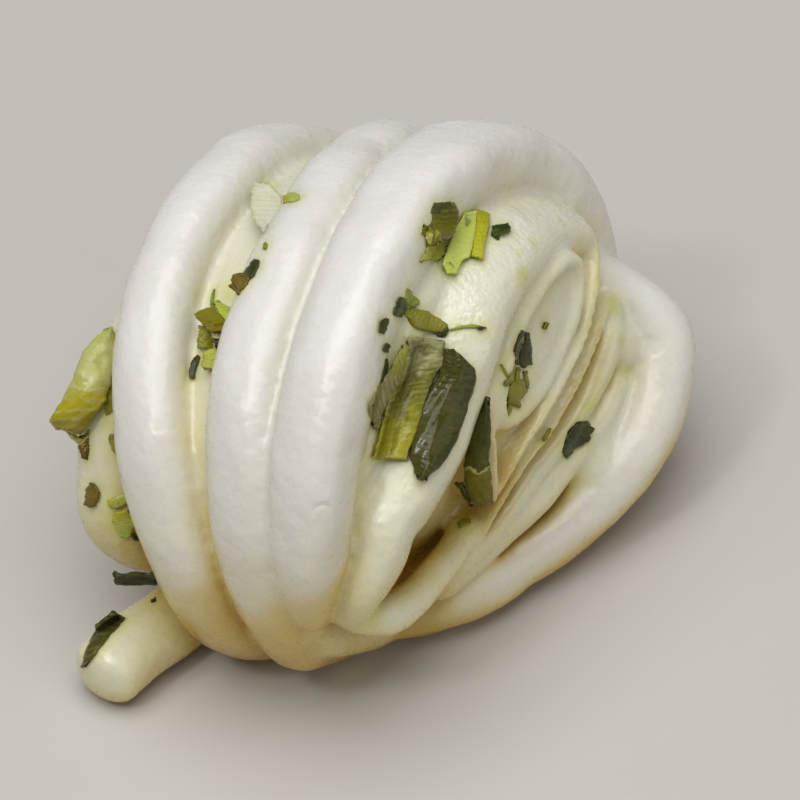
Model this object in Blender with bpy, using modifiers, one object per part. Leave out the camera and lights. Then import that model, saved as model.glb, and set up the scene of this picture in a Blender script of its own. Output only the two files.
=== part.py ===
"""Scallion flower roll: a steamed bun wound from strands of dough with pieces of spring onion.

Metres, +Z up. The roll stands on its flattened underside at z = 0. Its winding axis points to the
front right and a little upwards, so that the spiral end of the roll faces that way.
"""
import math

import bpy
import numpy as np
from mathutils import Vector
from mathutils.bvhtree import BVHTree

MM = 0.001

# ---- the roll as a whole (millimetres) ----
WINDING_AXIS = (0.807, -0.495, 0.323)   # direction of the axis that the strands are wound about
COIL_ACROSS = 38.0                      # radius of the outer coils, level
COIL_UP = 32.0                          # radius of the outer coils, upright
CENTRE_HEIGHT = 28.65                   # winding centre above the resting face
SETTLE = 1.6                            # how softly the underside turns into the resting face
UNEVEN_SHIFT = 0.22                     # hand-rolled wander of a strand
UNEVEN_WIDTH = 0.03                     # hand-rolled change of width, as a share

# ---- how the dough is knitted into one body ----
GRAIN = 0.85                            # cell of the remesh
SMOOTHING_PASSES = 4
KEPT_SHARE = 0.074                      # share of the faces that the finished body keeps

# Coils run round the winding axis. Each row is the turn from the top in degrees (90 is the back
# right, 270 the front left), the shift along the axis, the swell of the radius, the half width
# and the half thickness.
COILS = {
    "left ridge": dict(closed=True, square=2.4, rows=(
        (0, -20.0, -1.2, 6.0, 5.8),
        (40, -23.3, -2.4, 6.2, 5.6),
        (90, -21.0, -2.5, 6.3, 5.6),
        (135, -17.0, -2.0, 5.8, 5.5),
        (180, -10.0, -1.0, 5.4, 5.2),
        (225, -10.6, 0.0, 6.0, 5.4),
        (255, -7.8, 0.3, 6.3, 5.6),
        (270, -7.6, 0.2, 6.3, 5.7),
        (285, -8.9, 0.1, 6.0, 5.8),
        (315, -13.9, 0.0, 5.9, 5.8))),
    "middle ridge": dict(closed=True, square=2.5, rows=(
        (0, 0.0, 0.3, 5.9, 5.6),
        (30, -4.2, 0.0, 6.0, 5.5),
        (60, -8.0, -0.3, 6.8, 5.5),
        (90, -8.4, -0.3, 7.2, 5.5),
        (135, -6.3, -1.0, 6.8, 5.5),
        (180, -2.0, -1.0, 5.0, 5.0),
        (225, -2.2, -0.3, 4.6, 5.0),
        (255, 4.0, 0.2, 4.9, 5.3),
        (270, 5.5, 0.2, 5.6, 5.4),
        (285, 5.7, 0.2, 6.4, 5.5),
        (315, 4.2, 0.5, 6.2, 5.6))),
    "right ridge": dict(closed=False, square=2.8, rows=(
        (253, 9.8, -1.2, 2.6, 3.4),
        (260, 11.0, -0.7, 2.9, 4.2),
        (268, 12.7, -0.3, 3.5, 4.8),
        (277, 14.2, 0.0, 4.4, 5.3),
        (286, 15.2, 0.0, 5.2, 5.6),
        (315, 15.9, 0.5, 5.8, 5.8),
        (345, 14.8, 1.0, 6.4, 5.8),
        (375, 11.8, 1.4, 7.4, 5.8),
        (405, 9.0, 1.6, 8.0, 5.7),
        (435, 8.0, 1.6, 8.4, 5.2),
        (465, 6.0, 0.8, 8.4, 5.2),
        (500, 5.0, -0.5, 7.6, 5.4),
        (540, 5.0, -1.0, 6.0, 5.2),
        (568, 4.0, -2.0, 5.0, 5.0))),
    "sunk layer": dict(closed=True, square=2.3, rows=(
        (0, -9.5, -5.0, 8.0, 4.6),
        (45, -14.0, -5.0, 8.0, 4.6),
        (90, -15.0, -5.0, 8.0, 5.0),
        (180, -9.0, -5.0, 6.0, 5.0),
        (240, -4.5, -2.4, 5.0, 4.6),
        (265, -2.0, -2.4, 5.0, 4.6),
        (285, -2.2, -3.6, 6.4, 4.8),
        (315, -5.6, -4.8, 8.0, 4.8))),
    "bed of the seam": dict(closed=True, square=2.3, rows=(
        (0, 6.0, -1.8, 5.0, 4.0),
        (45, 0.0, -1.8, 6.0, 4.0),
        (90, -1.5, -2.0, 6.0, 4.0),
        (135, -1.0, -2.6, 6.0, 4.0),
        (180, 1.0, -2.6, 5.0, 4.0),
        (240, 4.6, -1.6, 4.0, 4.0),
        (265, 8.6, -1.2, 4.0, 4.0),
        (285, 10.6, -1.4, 5.0, 4.0),
        (315, 10.2, -1.5, 5.0, 4.0))),
    "bed of the broad layer": dict(closed=False, square=2.3, rows=(
        (252, 9.5, -6.5, 3.5, 4.0),
        (285, 11.5, -7.0, 6.0, 6.0),
        (330, 13.5, -7.0, 8.0, 6.0),
        (375, 12.0, -7.0, 8.0, 6.0),
        (420, 10.0, -7.0, 8.0, 6.0))),
    "far strand": dict(closed=False, square=2.3, rows=(
        (222, -20.0, -15.0, 4.6, 4.6),
        (240, -23.5, -11.0, 5.4, 5.2),
        (254, -25.4, -7.8, 5.6, 5.4),
        (270, -25.8, -6.4, 5.7, 5.4),
        (285, -25.6, -8.0, 5.7, 5.4),
        (310, -25.0, -9.0, 5.8, 5.4),
        (360, -24.6, -9.5, 6.0, 5.3),
        (420, -24.2, -13.0, 5.8, 5.2),
        (500, -24.0, -17.0, 5.6, 5.0),
        (600, -24.0, -21.5, 5.4, 4.8),
        (700, -24.0, -25.0, 5.2, 4.6),
        (780, -23.8, -28.0, 5.0, 4.4))),
}

# Folds run where the rows say: along the winding axis, across it, up from it, the half width, the
# half thickness, and the lean of the face towards the end of the roll in degrees.
FOLDS = {
    "broad layer": dict(square=2.8, tip=0.03, rows=(
        (13.3, -33.0, -9.2, 2.8, 3.0, 10),
        (15.4, -33.3, -6.3, 3.2, 3.4, 12),
        (17.1, -32.2, -3.6, 3.6, 3.8, 14),
        (18.4, -29.5, -0.4, 4.0, 4.3, 18),
        (18.8, -26.8, 2.8, 4.7, 4.8, 22),
        (18.7, -22.9, 4.8, 6.2, 5.2, 26),
        (18.4, -16.3, 8.7, 7.8, 5.6, 32),
        (18.5, -10.7, 12.7, 8.6, 5.6, 34),
        (19.0, -5.7, 17.1, 8.8, 5.6, 34),
        (19.0, 1.6, 20.7, 8.6, 5.6, 34),
        (18.0, 11.4, 21.3, 8.2, 5.2, 34),
        (16.0, 23.3, 16.4, 7.5, 4.4, 28),
        (14.8, 30.6, 10.6, 7.0, 3.2, 18),
        (14.6, 30.2, 7.2, 7.0, 2.3, 8),
        (16.2, 27.4, 4.8, 6.6, 1.6, 0),
        (17.8, 23.4, 2.9, 6.3, 1.3, 0),
        (19.0, 17.5, 0.7, 6.0, 1.1, 0),
        (19.0, 7.8, -2.2, 6.0, 1.0, 0),
        (17.5, -0.5, -5.5, 6.0, 1.0, 0),
        (15.0, -6.2, -10.0, 5.5, 1.1, 0))),
    "wall under the spiral": dict(square=2.4, tip=0.1, rows=(
        (18.5, 2.6, 10.4, 6.0, 1.8, 0),
        (19.0, -2.7, 9.0, 6.0, 1.6, 0),
        (19.0, -5.3, 5.3, 6.0, 1.4, 0),
        (18.5, -6.0, 0.5, 6.0, 1.3, 0),
        (17.5, -6.7, -4.5, 6.0, 1.2, 0),
        (16.0, -6.9, -10.0, 5.0, 1.2, 0))),
    "thin layer": dict(square=2.4, tip=0.1, rows=(
        (8.0, 38.7, -1.6, 6.0, 1.3, 0),
        (12.0, 33.4, -2.2, 6.0, 1.1, 0),
        (15.5, 27.3, -2.8, 6.0, 1.1, 0),
        (17.0, 19.5, -5.0, 6.0, 1.1, 0),
        (17.0, 10.5, -7.4, 6.0, 1.1, 0),
        (15.5, 2.0, -10.1, 6.0, 1.1, 0),
        (13.5, -4.8, -13.1, 6.0, 1.2, 0),
        (10.0, -10.9, -18.5, 5.0, 1.4, 0),
        (7.0, -18.3, -20.2, 4.0, 1.8, 0))),
    "second layer": dict(square=2.6, tip=0.08, rows=(
        (18.7, 32.7, -3.0, 1.6, 2.0, 158),
        (19.7, 30.3, -4.7, 1.9, 2.0, 158),
        (20.4, 27.8, -6.4, 2.2, 2.0, 158),
        (20.3, 23.2, -9.8, 2.4, 2.0, 158),
        (19.7, 17.7, -12.1, 2.4, 2.0, 158),
        (18.8, 11.7, -13.8, 2.3, 2.0, 158),
        (17.8, 6.9, -15.0, 2.1, 2.0, 158),
        (17.1, 1.9, -16.5, 2.0, 2.0, 158),
        (16.3, -2.5, -17.9, 1.9, 2.0, 158),
        (15.5, -7.6, -18.7, 1.8, 2.0, 158),
        (14.3, -13.8, -18.7, 1.7, 2.0, 158),
        (12.3, -20.1, -18.6, 1.6, 2.0, 158))),
    "third layer": dict(square=2.6, tip=0.08, rows=(
        (17.9, 31.2, -12.4, 1.2, 2.0, 158),
        (20.1, 27.0, -14.2, 1.8, 2.0, 158),
        (20.3, 22.4, -16.0, 2.3, 2.0, 158),
        (19.6, 17.1, -17.2, 2.5, 2.0, 158),
        (18.7, 11.6, -18.4, 2.4, 2.0, 158),
        (18.0, 6.3, -19.6, 2.1, 2.0, 158),
        (16.7, 0.5, -20.3, 1.9, 2.0, 158),
        (15.4, -4.6, -21.0, 1.8, 2.0, 158),
        (14.3, -10.8, -20.9, 1.7, 2.0, 158),
        (12.9, -17.7, -20.3, 1.6, 2.0, 158))),
    "outer lip": dict(square=2.4, tip=0.1, rows=(
        (3.0, 28.0, 3.0, 5.0, 4.0, 0),
        (12.3, 35.0, -3.0, 7.0, 4.4, 5),
        (18.2, 37.6, -12.9, 9.0, 5.6, 18),
        (19.3, 32.8, -19.9, 9.5, 6.0, 22),
        (18.8, 25.4, -24.4, 9.5, 6.0, 20),
        (16.2, 15.6, -27.5, 8.5, 5.6, 12),
        (12.8, 3.7, -28.6, 7.0, 4.8, 0),
        (9.4, -9.6, -26.4, 5.5, 4.4, 0),
        (6.0, -18.0, -23.7, 4.0, 4.0, 0))),
    "front fold": dict(square=2.3, tip=0.08, rows=(
        (13.9, -5.3, -16.3, 1.8, 1.8, 0),
        (15.4, -8.7, -14.7, 2.1, 2.1, 0),
        (15.9, -13.8, -14.7, 2.3, 2.3, 0),
        (16.1, -18.6, -14.6, 2.4, 2.4, 0),
        (16.1, -23.9, -14.3, 2.6, 2.6, 0),
        (15.5, -29.3, -12.7, 2.9, 2.9, 0),
        (14.0, -32.9, -9.8, 3.0, 3.0, 0),
        (13.6, -34.2, -5.9, 2.7, 2.7, 0),
        (14.0, -33.4, -2.2, 2.3, 2.3, 0))),
    "tail": dict(square=2.3, tip=0.12, rows=(
        (-11.6, -7.6, -19.3, 5.0, 5.0, 0),
        (-17.0, -20.3, -18.0, 5.0, 5.0, 0),
        (-20.4, -30.5, -18.2, 5.1, 5.1, 0),
        (-21.5, -35.6, -17.7, 5.4, 5.1, 0),
        (-22.9, -40.9, -17.2, 5.5, 5.1, 0),
        (-23.6, -46.4, -16.8, 5.4, 5.1, 0),
        (-24.0, -50.3, -16.6, 4.8, 5.1, 0))),
}

# The rolled heart of the spiral end is an oval: its centre, its half length and half width, its
# turn in degrees, and of its rim the place along the axis, the half width, the half thickness and
# how much higher it stands on its upper side.
HEART_CENTRE = (9.6, 7.6)
HEART_HALF_LENGTH = 13.3
HEART_HALF_WIDTH = 6.1
HEART_TURN = 18.0
RIM_ALONG = 20.3
RIM_HALF_WIDTH = 5.0
RIM_HALF_THICKNESS = 1.9
RIM_TILT = 0.08

# Lumps fill the inside: centre and radii along, across and up, turn in the winding plane, power.
LUMPS = (
    ((18.6, 9.6, 7.6), (5.6, 14.6, 7.4), 18.0, 4.0),
    ((-4.0, 0.0, 0.0), (20.0, 34.0, 28.0), 0.0, 2.0),
    ((7.0, 12.0, 2.0), (15.5, 24.0, 15.0), 25.5, 2.5),
    ((0.5, 10.0, -8.0), (14.5, 26.0, 20.0), 0.0, 2.5),
    ((7.0, 24.0, -12.0), (12.0, 13.0, 9.0), 0.0, 3.0),
    ((16.0, 31.0, -12.0), (7.2, 5.4, 9.4), 20.0, 2.2),
    ((15.8, 17.6, -21.0), (7.0, 9.0, 4.8), 42.0, 2.2),
)
FOOT_CENTRE = (-1.0, 3.0, -23.0)        # the dough that has sunk to the foot, in plain x, y, z
FOOT_RADII = (30.0, 28.0, 9.0)

# Pieces of spring onion lie on the dough. They were laid on from the front and above, along
# LAY_FROM, and are drawn on a plate square to it: each has a left and a right edge as (x, slant)
# pairs from its upper to its lower end, a thickness, and a bow across its width. A piece with a
# depth isn't draped but spans a crease at that distance in front of the winding centre, its
# right edge lower by the fall.
LAY_FROM_DEGREES = 47.0
CLEARANCE = 0.32
LIFT_STEP = 0.1
HIGHEST_LIFT = 5.0
SLAB_GRID = (9, 5)
DRAPED = {
    "scallion_leaf": dict(
        left=((9.1, 7.0), (7.7, 2.9), (6.1, -1.0), (4.7, -6.6), (5.5, -11.2)),
        right=((10.5, 6.8), (13.4, 2.7), (12.2, -1.9), (10.1, -6.4), (6.5, -11.1)),
        thick=1.5, bow=0.4, colour=(0.075, 0.080, 0.028), rough=0.30),
    "scallion_stalk": dict(
        left=((3.9, 7.5), (1.6, 3.0), (0.3, -1.1), (0.0, -4.8), (-0.3, -8.2)),
        right=((8.5, 6.5), (7.0, 2.6), (5.4, -1.5), (4.0, -6.3), (3.5, -8.6)),
        thick=1.7, bow=0.5, colour=(0.33, 0.34, 0.12), rough=0.32),
    "scallion_block": dict(
        left=((12.3, 25.8), (10.5, 23.3), (9.1, 20.4), (8.8, 18.1)),
        right=((15.6, 25.8), (15.4, 23.0), (14.6, 19.6), (10.4, 17.1)),
        thick=1.8, bow=0.5, colour=(0.36, 0.44, 0.08), rough=0.34),
    "scallion_curl": dict(
        left=((7.6, 27.7), (6.9, 25.6), (6.2, 23.6), (7.0, 22.6)),
        right=((10.6, 27.0), (11.4, 25.2), (10.6, 23.0), (8.8, 22.2)),
        thick=2.2, bow=0.5, depth=(27.0, 28.5, 29.5, 30.0), fall=3.0,
        colour=(0.085, 0.095, 0.030), rough=0.30),
    "scallion_sliver": dict(
        left=((14.5, -0.4), (13.2, -4.4), (11.7, -9.1), (11.0, -12.4)),
        right=((15.2, -1.0), (15.8, -4.8), (15.9, -10.0), (15.9, -14.2)),
        thick=1.3, bow=0.3, depth=(23.5, 23.0, 21.5, 20.0), colour=(0.080, 0.090, 0.022),
        rough=0.34),
    "scallion_bulb": dict(
        left=((-17.2, 30.3), (-18.3, 28.0), (-17.9, 24.9)),
        right=((-15.1, 29.9), (-14.6, 27.4), (-15.6, 25.1)),
        thick=1.5, bow=0.3, depth=(6.5, 9.0, 13.0), fall=-1.0, colour=(0.62, 0.64, 0.50),
        rough=0.28),
    "scallion_chip": dict(
        left=((-26.0, 12.9), (-26.6, 11.3), (-25.4, 8.4)),
        right=((-23.6, 13.7), (-22.9, 11.4), (-23.6, 8.2)),
        thick=1.5, bow=0.3, depth=(20.0, 21.5, 24.0), fall=-1.5, colour=(0.26, 0.29, 0.05),
        rough=0.34),
    "scallion_side": dict(
        left=((-41.2, 8.8), (-44.5, 5.6), (-45.9, -0.2), (-47.3, -2.5)),
        right=((-39.6, 8.0), (-39.9, 3.8), (-40.6, -1.2), (-42.6, -5.1)),
        thick=1.8, bow=0.8, depth=(6.0, 8.0, 9.0, 10.5), colour=(0.36, 0.35, 0.09), rough=0.32),
}

COLLECTION = "steamed bun"

for old in list(bpy.data.objects):
    bpy.data.objects.remove(old)

scene = bpy.context.scene
body_parts = bpy.data.collections.new(COLLECTION)
cutters = bpy.data.collections.new("cutters")
scene.collection.children.link(body_parts)
scene.collection.children.link(cutters)

# ---- the winding frame ----
axis = Vector(WINDING_AXIS).normalized()
level = Vector((-axis.y, axis.x, 0.0)).normalized()
upright = axis.cross(level)
FRAME = np.array((axis, level, upright))


def placed(points):
    """Points given along, across and up from the winding centre, in metres above the floor."""
    out = np.asarray(points, float) @ FRAME
    out[:, 2] += CENTRE_HEIGHT
    return out * MM


def eased(at, stations, values, period=None):
    """Smooth curve through a few values, read at many places."""
    xs = np.asarray(stations, float)
    ys = np.asarray(values, float)
    if period:
        xs = np.concatenate((xs - period, xs, xs + period))
        ys = np.concatenate((ys, ys, ys))
    slope = np.gradient(ys, xs)
    i = np.clip(np.searchsorted(xs, at) - 1, 0, len(xs) - 2)
    run = xs[i + 1] - xs[i]
    t = np.clip((at - xs[i]) / run, 0.0, 1.0)
    rise = (2 * t**3 - 3 * t**2 + 1) * ys[i] + (3 * t**2 - 2 * t**3) * ys[i + 1]
    return rise + ((t**3 - 2 * t**2 + t) * slope[i] + (t**3 - t**2) * slope[i + 1]) * run


def rounded_tips(count, share):
    """Scale of the section along an open strand, which closes in a half round at both ends."""
    near = np.minimum(np.arange(count), np.arange(count)[::-1]) / (count - 1)
    t = np.clip(near / share, 0.0, 1.0)
    return 0.03 + 0.97 * np.sqrt(1.0 - (1.0 - t) ** 2)


def strand(centre, outward, half_width, half_thickness, closed, square, sides=26):
    """Skin a strand whose section changes along its length. Returns vertices and faces."""
    if closed:
        tangent = np.roll(centre, -1, 0) - np.roll(centre, 1, 0)
    else:
        tangent = np.gradient(centre, axis=0)
    tangent /= np.linalg.norm(tangent, axis=1)[:, None]
    outward = outward - (outward * tangent).sum(1)[:, None] * tangent
    outward /= np.linalg.norm(outward, axis=1)[:, None]
    sideways = np.cross(tangent, outward)
    angle = np.linspace(0.0, 2 * np.pi, sides, endpoint=False)
    c, s = np.cos(angle), np.sin(angle)
    reach = (np.abs(c) ** square + np.abs(s) ** square) ** (-1.0 / square)
    c, s = c * reach, s * reach
    points = (centre[:, None]
              + sideways[:, None] * c[None, :, None] * half_width[:, None, None]
              + outward[:, None] * s[None, :, None] * half_thickness[:, None, None])
    count = len(centre)
    faces = []
    for i in range(count if closed else count - 1):
        j = (i + 1) % count
        for q in range(sides):
            r = (q + 1) % sides
            faces.append((i * sides + q, i * sides + r, j * sides + r, j * sides + q))
    if not closed:
        faces.append(tuple(reversed(range(sides))))
        faces.append(tuple(range((count - 1) * sides, count * sides)))
    return placed(points.reshape(-1, 3)), faces


def coil(rows, closed, square, phase):
    """A strand wound round the axis."""
    rows = np.array(rows, float)
    count = 160
    first, last = (0.0, 360.0) if closed else (rows[0, 0], rows[-1, 0])
    turn = np.linspace(first, last, count, endpoint=not closed)
    period = 360.0 if closed else None
    shift, swell, width, thick = (eased(turn, rows[:, 0], rows[:, k], period) for k in range(1, 5))
    f = np.radians(turn)
    shift = shift + UNEVEN_SHIFT * (np.sin(3 * f + phase) + 0.6 * np.sin(7 * f + 2.1 * phase))
    width = width * (1.0 + UNEVEN_WIDTH * np.sin(5 * f + 1.7 * phase))
    thick = thick * (1.0 + UNEVEN_WIDTH * np.sin(4 * f + 2.9 * phase))
    if not closed:
        tips = rounded_tips(count, 0.03)
        width, thick = width * tips, thick * tips
    centre = np.stack((shift, (COIL_ACROSS + swell) * np.sin(f), (COIL_UP + swell) * np.cos(f)), 1)
    outward = np.stack((np.zeros(count), np.sin(f), np.cos(f)), 1)
    return strand(centre, outward, width, thick, closed, square)


def fold(rows, square, tip=0.1, closed=False, count=130):
    """A strand or a layer laid along a path of its own."""
    rows = np.array(rows, float)
    last = len(rows) if closed else len(rows) - 1
    at = np.linspace(0.0, last, count, endpoint=not closed)
    stations = np.arange(len(rows))
    period = len(rows) if closed else None
    along, across, up, width, thick, lean = (
        eased(at, stations, rows[:, k], period) for k in range(6))
    centre = np.stack((along, across, up), 1)
    if closed:
        run = np.roll(centre, -1, 0) - np.roll(centre, 1, 0)
        middle = centre.mean(0)
    else:
        run = np.gradient(centre, axis=0)
        middle = np.zeros(3)
        tips = rounded_tips(count, tip)
        width, thick = width * tips, thick * tips
    flat = np.stack((np.zeros(count), run[:, 2], -run[:, 1]), 1)
    flat /= np.linalg.norm(flat, axis=1)[:, None]
    if (flat * (centre - middle)).sum() < 0.0:
        flat = -flat
    lean = np.radians(lean)[:, None]
    outward = flat * np.cos(lean) + np.array((1.0, 0.0, 0.0)) * np.sin(lean)
    return strand(centre, outward, width, thick, closed, square)


def heart_rim():
    """The raised rim of the rolled heart."""
    turn = math.radians(HEART_TURN)
    rows = []
    steps = 16
    for k in range(steps):
        a = 2 * math.pi * k / steps
        x = HEART_HALF_LENGTH * math.cos(a)
        y = HEART_HALF_WIDTH * math.sin(a)
        across = HEART_CENTRE[0] + x * math.cos(turn) - y * math.sin(turn)
        up = HEART_CENTRE[1] + x * math.sin(turn) + y * math.cos(turn)
        rows.append((RIM_ALONG + RIM_TILT * y, across, up, RIM_HALF_WIDTH, RIM_HALF_THICKNESS, 0.0))
    return fold(rows, 2.3, closed=True, count=96)


def ball():
    """Vertices and faces of a ball of radius one."""
    mesh = bpy.data.meshes.new("ball")
    holder = bpy.data.objects.new("ball", mesh)
    scene.collection.objects.link(holder)
    bpy.context.view_layer.objects.active = holder
    holder.select_set(True)
    bpy.ops.mesh.primitive_uv_sphere_add(segments=64, ring_count=32, radius=1.0)
    made = bpy.context.object
    points = np.array([v.co for v in made.data.vertices])
    faces = [tuple(p.vertices) for p in made.data.polygons]
    bpy.data.objects.remove(made)
    bpy.data.objects.remove(holder)
    return points, faces


def lump(centre, radii, turn, power):
    """A round or squarish lump set square to the winding axis."""
    points, faces = ball()
    around = np.hypot(points[:, 1], points[:, 2])
    reach = (np.abs(points[:, 0]) ** power + around ** power) ** (-1.0 / power)
    points = points * reach[:, None] * np.array(radii)
    t = math.radians(turn)
    across = points[:, 1] * math.cos(t) - points[:, 2] * math.sin(t)
    up = points[:, 1] * math.sin(t) + points[:, 2] * math.cos(t)
    points = np.stack((points[:, 0], across, up), 1) + np.array(centre)
    return placed(points), faces


def foot():
    """The dough that has sunk to the foot of the roll."""
    points, faces = ball()
    points = points * np.array(FOOT_RADII) + np.array(FOOT_CENTRE)
    points[:, 2] += CENTRE_HEIGHT
    return points * MM, faces


def settled(points):
    """Let the underside sink: nothing goes far below the floor, and the turn-in stays round."""
    soft = SETTLE * MM
    q = points[:, 2] / soft
    out = points.copy()
    out[:, 2] = soft * np.logaddexp(0.0, q) - 0.35 * MM
    return out


def material(name, colour, roughness):
    """A plain surface."""
    made = bpy.data.materials.new(name)
    made.use_nodes = True
    shader = made.node_tree.nodes["Principled BSDF"]
    shader.inputs["Base Color"].default_value = (*colour, 1.0)
    shader.inputs["Roughness"].default_value = roughness
    shader.inputs["Metallic"].default_value = 0.0
    made.diffuse_color = (*colour, 1.0)
    return made


# ---- the dough: every strand and lump, knitted into one body ----
pieces = []
for number, spec in enumerate(COILS.values()):
    pieces.append(coil(spec["rows"], spec["closed"], spec["square"], 1.3 * number + 0.4))
for spec in FOLDS.values():
    pieces.append(fold(spec["rows"], spec["square"], spec["tip"]))
pieces.append(heart_rim())
for spec in LUMPS:
    pieces.append(lump(*spec))
pieces.append(foot())

all_points = []
all_faces = []
offset = 0
for points, faces in pieces:
    all_points.append(settled(points))
    all_faces.extend(tuple(v + offset for v in f) for f in faces)
    offset += len(points)
dough_mesh = bpy.data.meshes.new("dough")
dough_mesh.from_pydata(np.concatenate(all_points).tolist(), [], all_faces)
dough_mesh.update()
dough = bpy.data.objects.new("dough", dough_mesh)
body_parts.objects.link(dough)
dough_mesh.materials.append(material("steamed dough", (0.80, 0.77, 0.68), 0.42))

knit = dough.modifiers.new("knit", "REMESH")
knit.mode = "VOXEL"
knit.voxel_size = GRAIN * MM
knit.use_smooth_shade = True
smooth = dough.modifiers.new("smooth", "SMOOTH")
smooth.factor = 0.5
smooth.iterations = SMOOTHING_PASSES
spare = dough.modifiers.new("spare", "DECIMATE")
spare.ratio = KEPT_SHARE

bpy.ops.mesh.primitive_cube_add(size=1.0)
floor_block = bpy.context.object
floor_block.name = "floor block"
for holder in list(floor_block.users_collection):
    holder.objects.unlink(floor_block)
cutters.objects.link(floor_block)
floor_block.scale = (0.2, 0.2, 0.02)
floor_block.location = (0.0, 0.0, -0.01)
floor_block.hide_render = True
floor_block.display_type = "WIRE"
pare = dough.modifiers.new("pare", "BOOLEAN")
pare.operation = "DIFFERENCE"
pare.solver = "EXACT"
pare.object = floor_block
bpy.context.view_layer.update()

# ---- the pieces of spring onion ----
lay = math.radians(LAY_FROM_DEGREES)
TOWARDS = Vector((0.0, -math.cos(lay), math.sin(lay)))
SLANT = Vector((0.0, math.sin(lay), math.cos(lay)))
SIDE = Vector((1.0, 0.0, 0.0))
HEART = Vector((0.0, 0.0, CENTRE_HEIGHT * MM))
surface = BVHTree.FromObject(dough, bpy.context.evaluated_depsgraph_get())


def plate_point(x, slant, depth):
    """A point given on the slanting plate and its distance in front of the winding centre."""
    return HEART + (SIDE * x + SLANT * slant + TOWARDS * depth) * MM


def depth_of_dough(x, slant):
    """Distance of the dough in front of the winding centre, or None beside the roll."""
    hit = surface.ray_cast(plate_point(x, slant, 90.0), -TOWARDS)[0]
    return None if hit is None else (hit - HEART).dot(TOWARDS) / MM


def relaxed(grid, passes):
    """Even out a table of depths as a limp leaf would."""
    for _ in range(passes):
        padded = np.pad(grid, 1, mode="edge")
        around = (padded[:-2, 1:-1] + padded[2:, 1:-1] + padded[1:-1, :-2] + padded[1:-1, 2:]) / 4.0
        grid = 0.5 * grid + 0.5 * around
    return grid


def clear_of_dough(points):
    """Smallest distance from the points to the dough, negative where a point is inside."""
    least = 1.0
    for p in points:
        place, normal, _, distance = surface.find_nearest(p)
        least = min(least, distance if (p - place).dot(normal) > 0.0 else -distance)
    return least / MM


def leaf_body(name, points, faces, colour, rough):
    """A named object of its own for one piece of spring onion."""
    mesh = bpy.data.meshes.new(name)
    mesh.from_pydata(points, [], faces)
    mesh.update()
    made = bpy.data.objects.new(name, mesh)
    body_parts.objects.link(made)
    mesh.materials.append(material(name.replace("_", " "), colour, rough))
    mesh.polygons.foreach_set("use_smooth", [True] * len(mesh.polygons))


def slab(name, left, right, thick, bow, colour, rough, depth=None, fall=0.0):
    """A closed slab between two edges, draped on the dough or set across a crease."""
    rows, cols = SLAB_GRID
    ends = np.linspace(0.0, 1.0, len(left))
    t = np.linspace(0.0, 1.0, rows)
    left = np.stack([eased(t, ends, np.array(left)[:, k]) for k in range(2)], 1)
    right = np.stack([eased(t, ends, np.array(right)[:, k]) for k in range(2)], 1)
    across = np.linspace(0.0, 1.0, cols)
    plate = left[:, None] * (1.0 - across)[None, :, None] + right[:, None] * across[None, :, None]
    if depth is None:
        ground = np.array([[depth_of_dough(*p) for p in row] for row in plate])
        lying = relaxed(ground, 6)
        lying = relaxed(np.maximum(lying, ground), 2)
    else:
        along = eased(t, np.linspace(0.0, 1.0, len(depth)), depth)
        lying = along[:, None] - fall * across[None, :]
    lying = lying + bow * (1.0 - (2.0 * across - 1.0) ** 2)[None, :]
    lift = LIFT_STEP
    while True:
        under = [plate_point(*plate[i, j], lying[i, j] + lift)
                 for i in range(rows) for j in range(cols)]
        mid = [(under[i * cols + j] + under[(i + 1) * cols + j + 1]) / 2.0
               for i in range(rows - 1) for j in range(cols - 1)]
        over = [p + TOWARDS * (thick * MM) for p in under]
        if clear_of_dough(under + mid + over) > CLEARANCE or lift > HIGHEST_LIFT:
            break
        lift += LIFT_STEP
    count = rows * cols
    faces = []
    for i in range(rows - 1):
        for j in range(cols - 1):
            a = i * cols + j
            b = a + cols
            faces.append((a, a + 1, b + 1, b))
            faces.append((count + a, count + b, count + b + 1, count + a + 1))
    rim = [j for j in range(cols)]
    rim += [i * cols + cols - 1 for i in range(1, rows)]
    rim += [(rows - 1) * cols + j for j in range(cols - 2, -1, -1)]
    rim += [i * cols for i in range(rows - 2, 0, -1)]
    for a, b in zip(rim, rim[1:] + rim[:1]):
        faces.append((a, count + a, count + b, b))
    leaf_body(name, under + over, faces, colour, rough)


for name, spec in DRAPED.items():
    slab(name, **spec)
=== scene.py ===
"""The looks of a scallion flower roll: a steamed bun wound from strands of white dough.

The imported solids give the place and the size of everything. The dough is wound again here from
the same strands at a finer grain, and the pieces of spring onion are laid on it.
"""
import math

import bpy
import numpy as np
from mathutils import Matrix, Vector
from mathutils.bvhtree import BVHTree
from mathutils.kdtree import KDTree


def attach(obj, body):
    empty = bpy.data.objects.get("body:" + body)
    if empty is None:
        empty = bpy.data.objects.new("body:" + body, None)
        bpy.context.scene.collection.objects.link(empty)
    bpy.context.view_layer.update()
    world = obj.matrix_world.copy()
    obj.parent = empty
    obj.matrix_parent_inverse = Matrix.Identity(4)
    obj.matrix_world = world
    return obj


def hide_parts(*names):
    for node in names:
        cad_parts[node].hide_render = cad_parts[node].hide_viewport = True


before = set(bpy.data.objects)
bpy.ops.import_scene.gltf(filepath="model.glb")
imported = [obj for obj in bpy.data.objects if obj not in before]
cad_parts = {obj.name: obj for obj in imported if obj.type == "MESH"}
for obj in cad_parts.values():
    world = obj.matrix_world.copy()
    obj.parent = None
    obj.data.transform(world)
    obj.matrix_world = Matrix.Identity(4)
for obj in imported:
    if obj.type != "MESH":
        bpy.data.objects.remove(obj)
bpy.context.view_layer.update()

bpy.ops.object.select_all(action="DESELECT")

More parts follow.
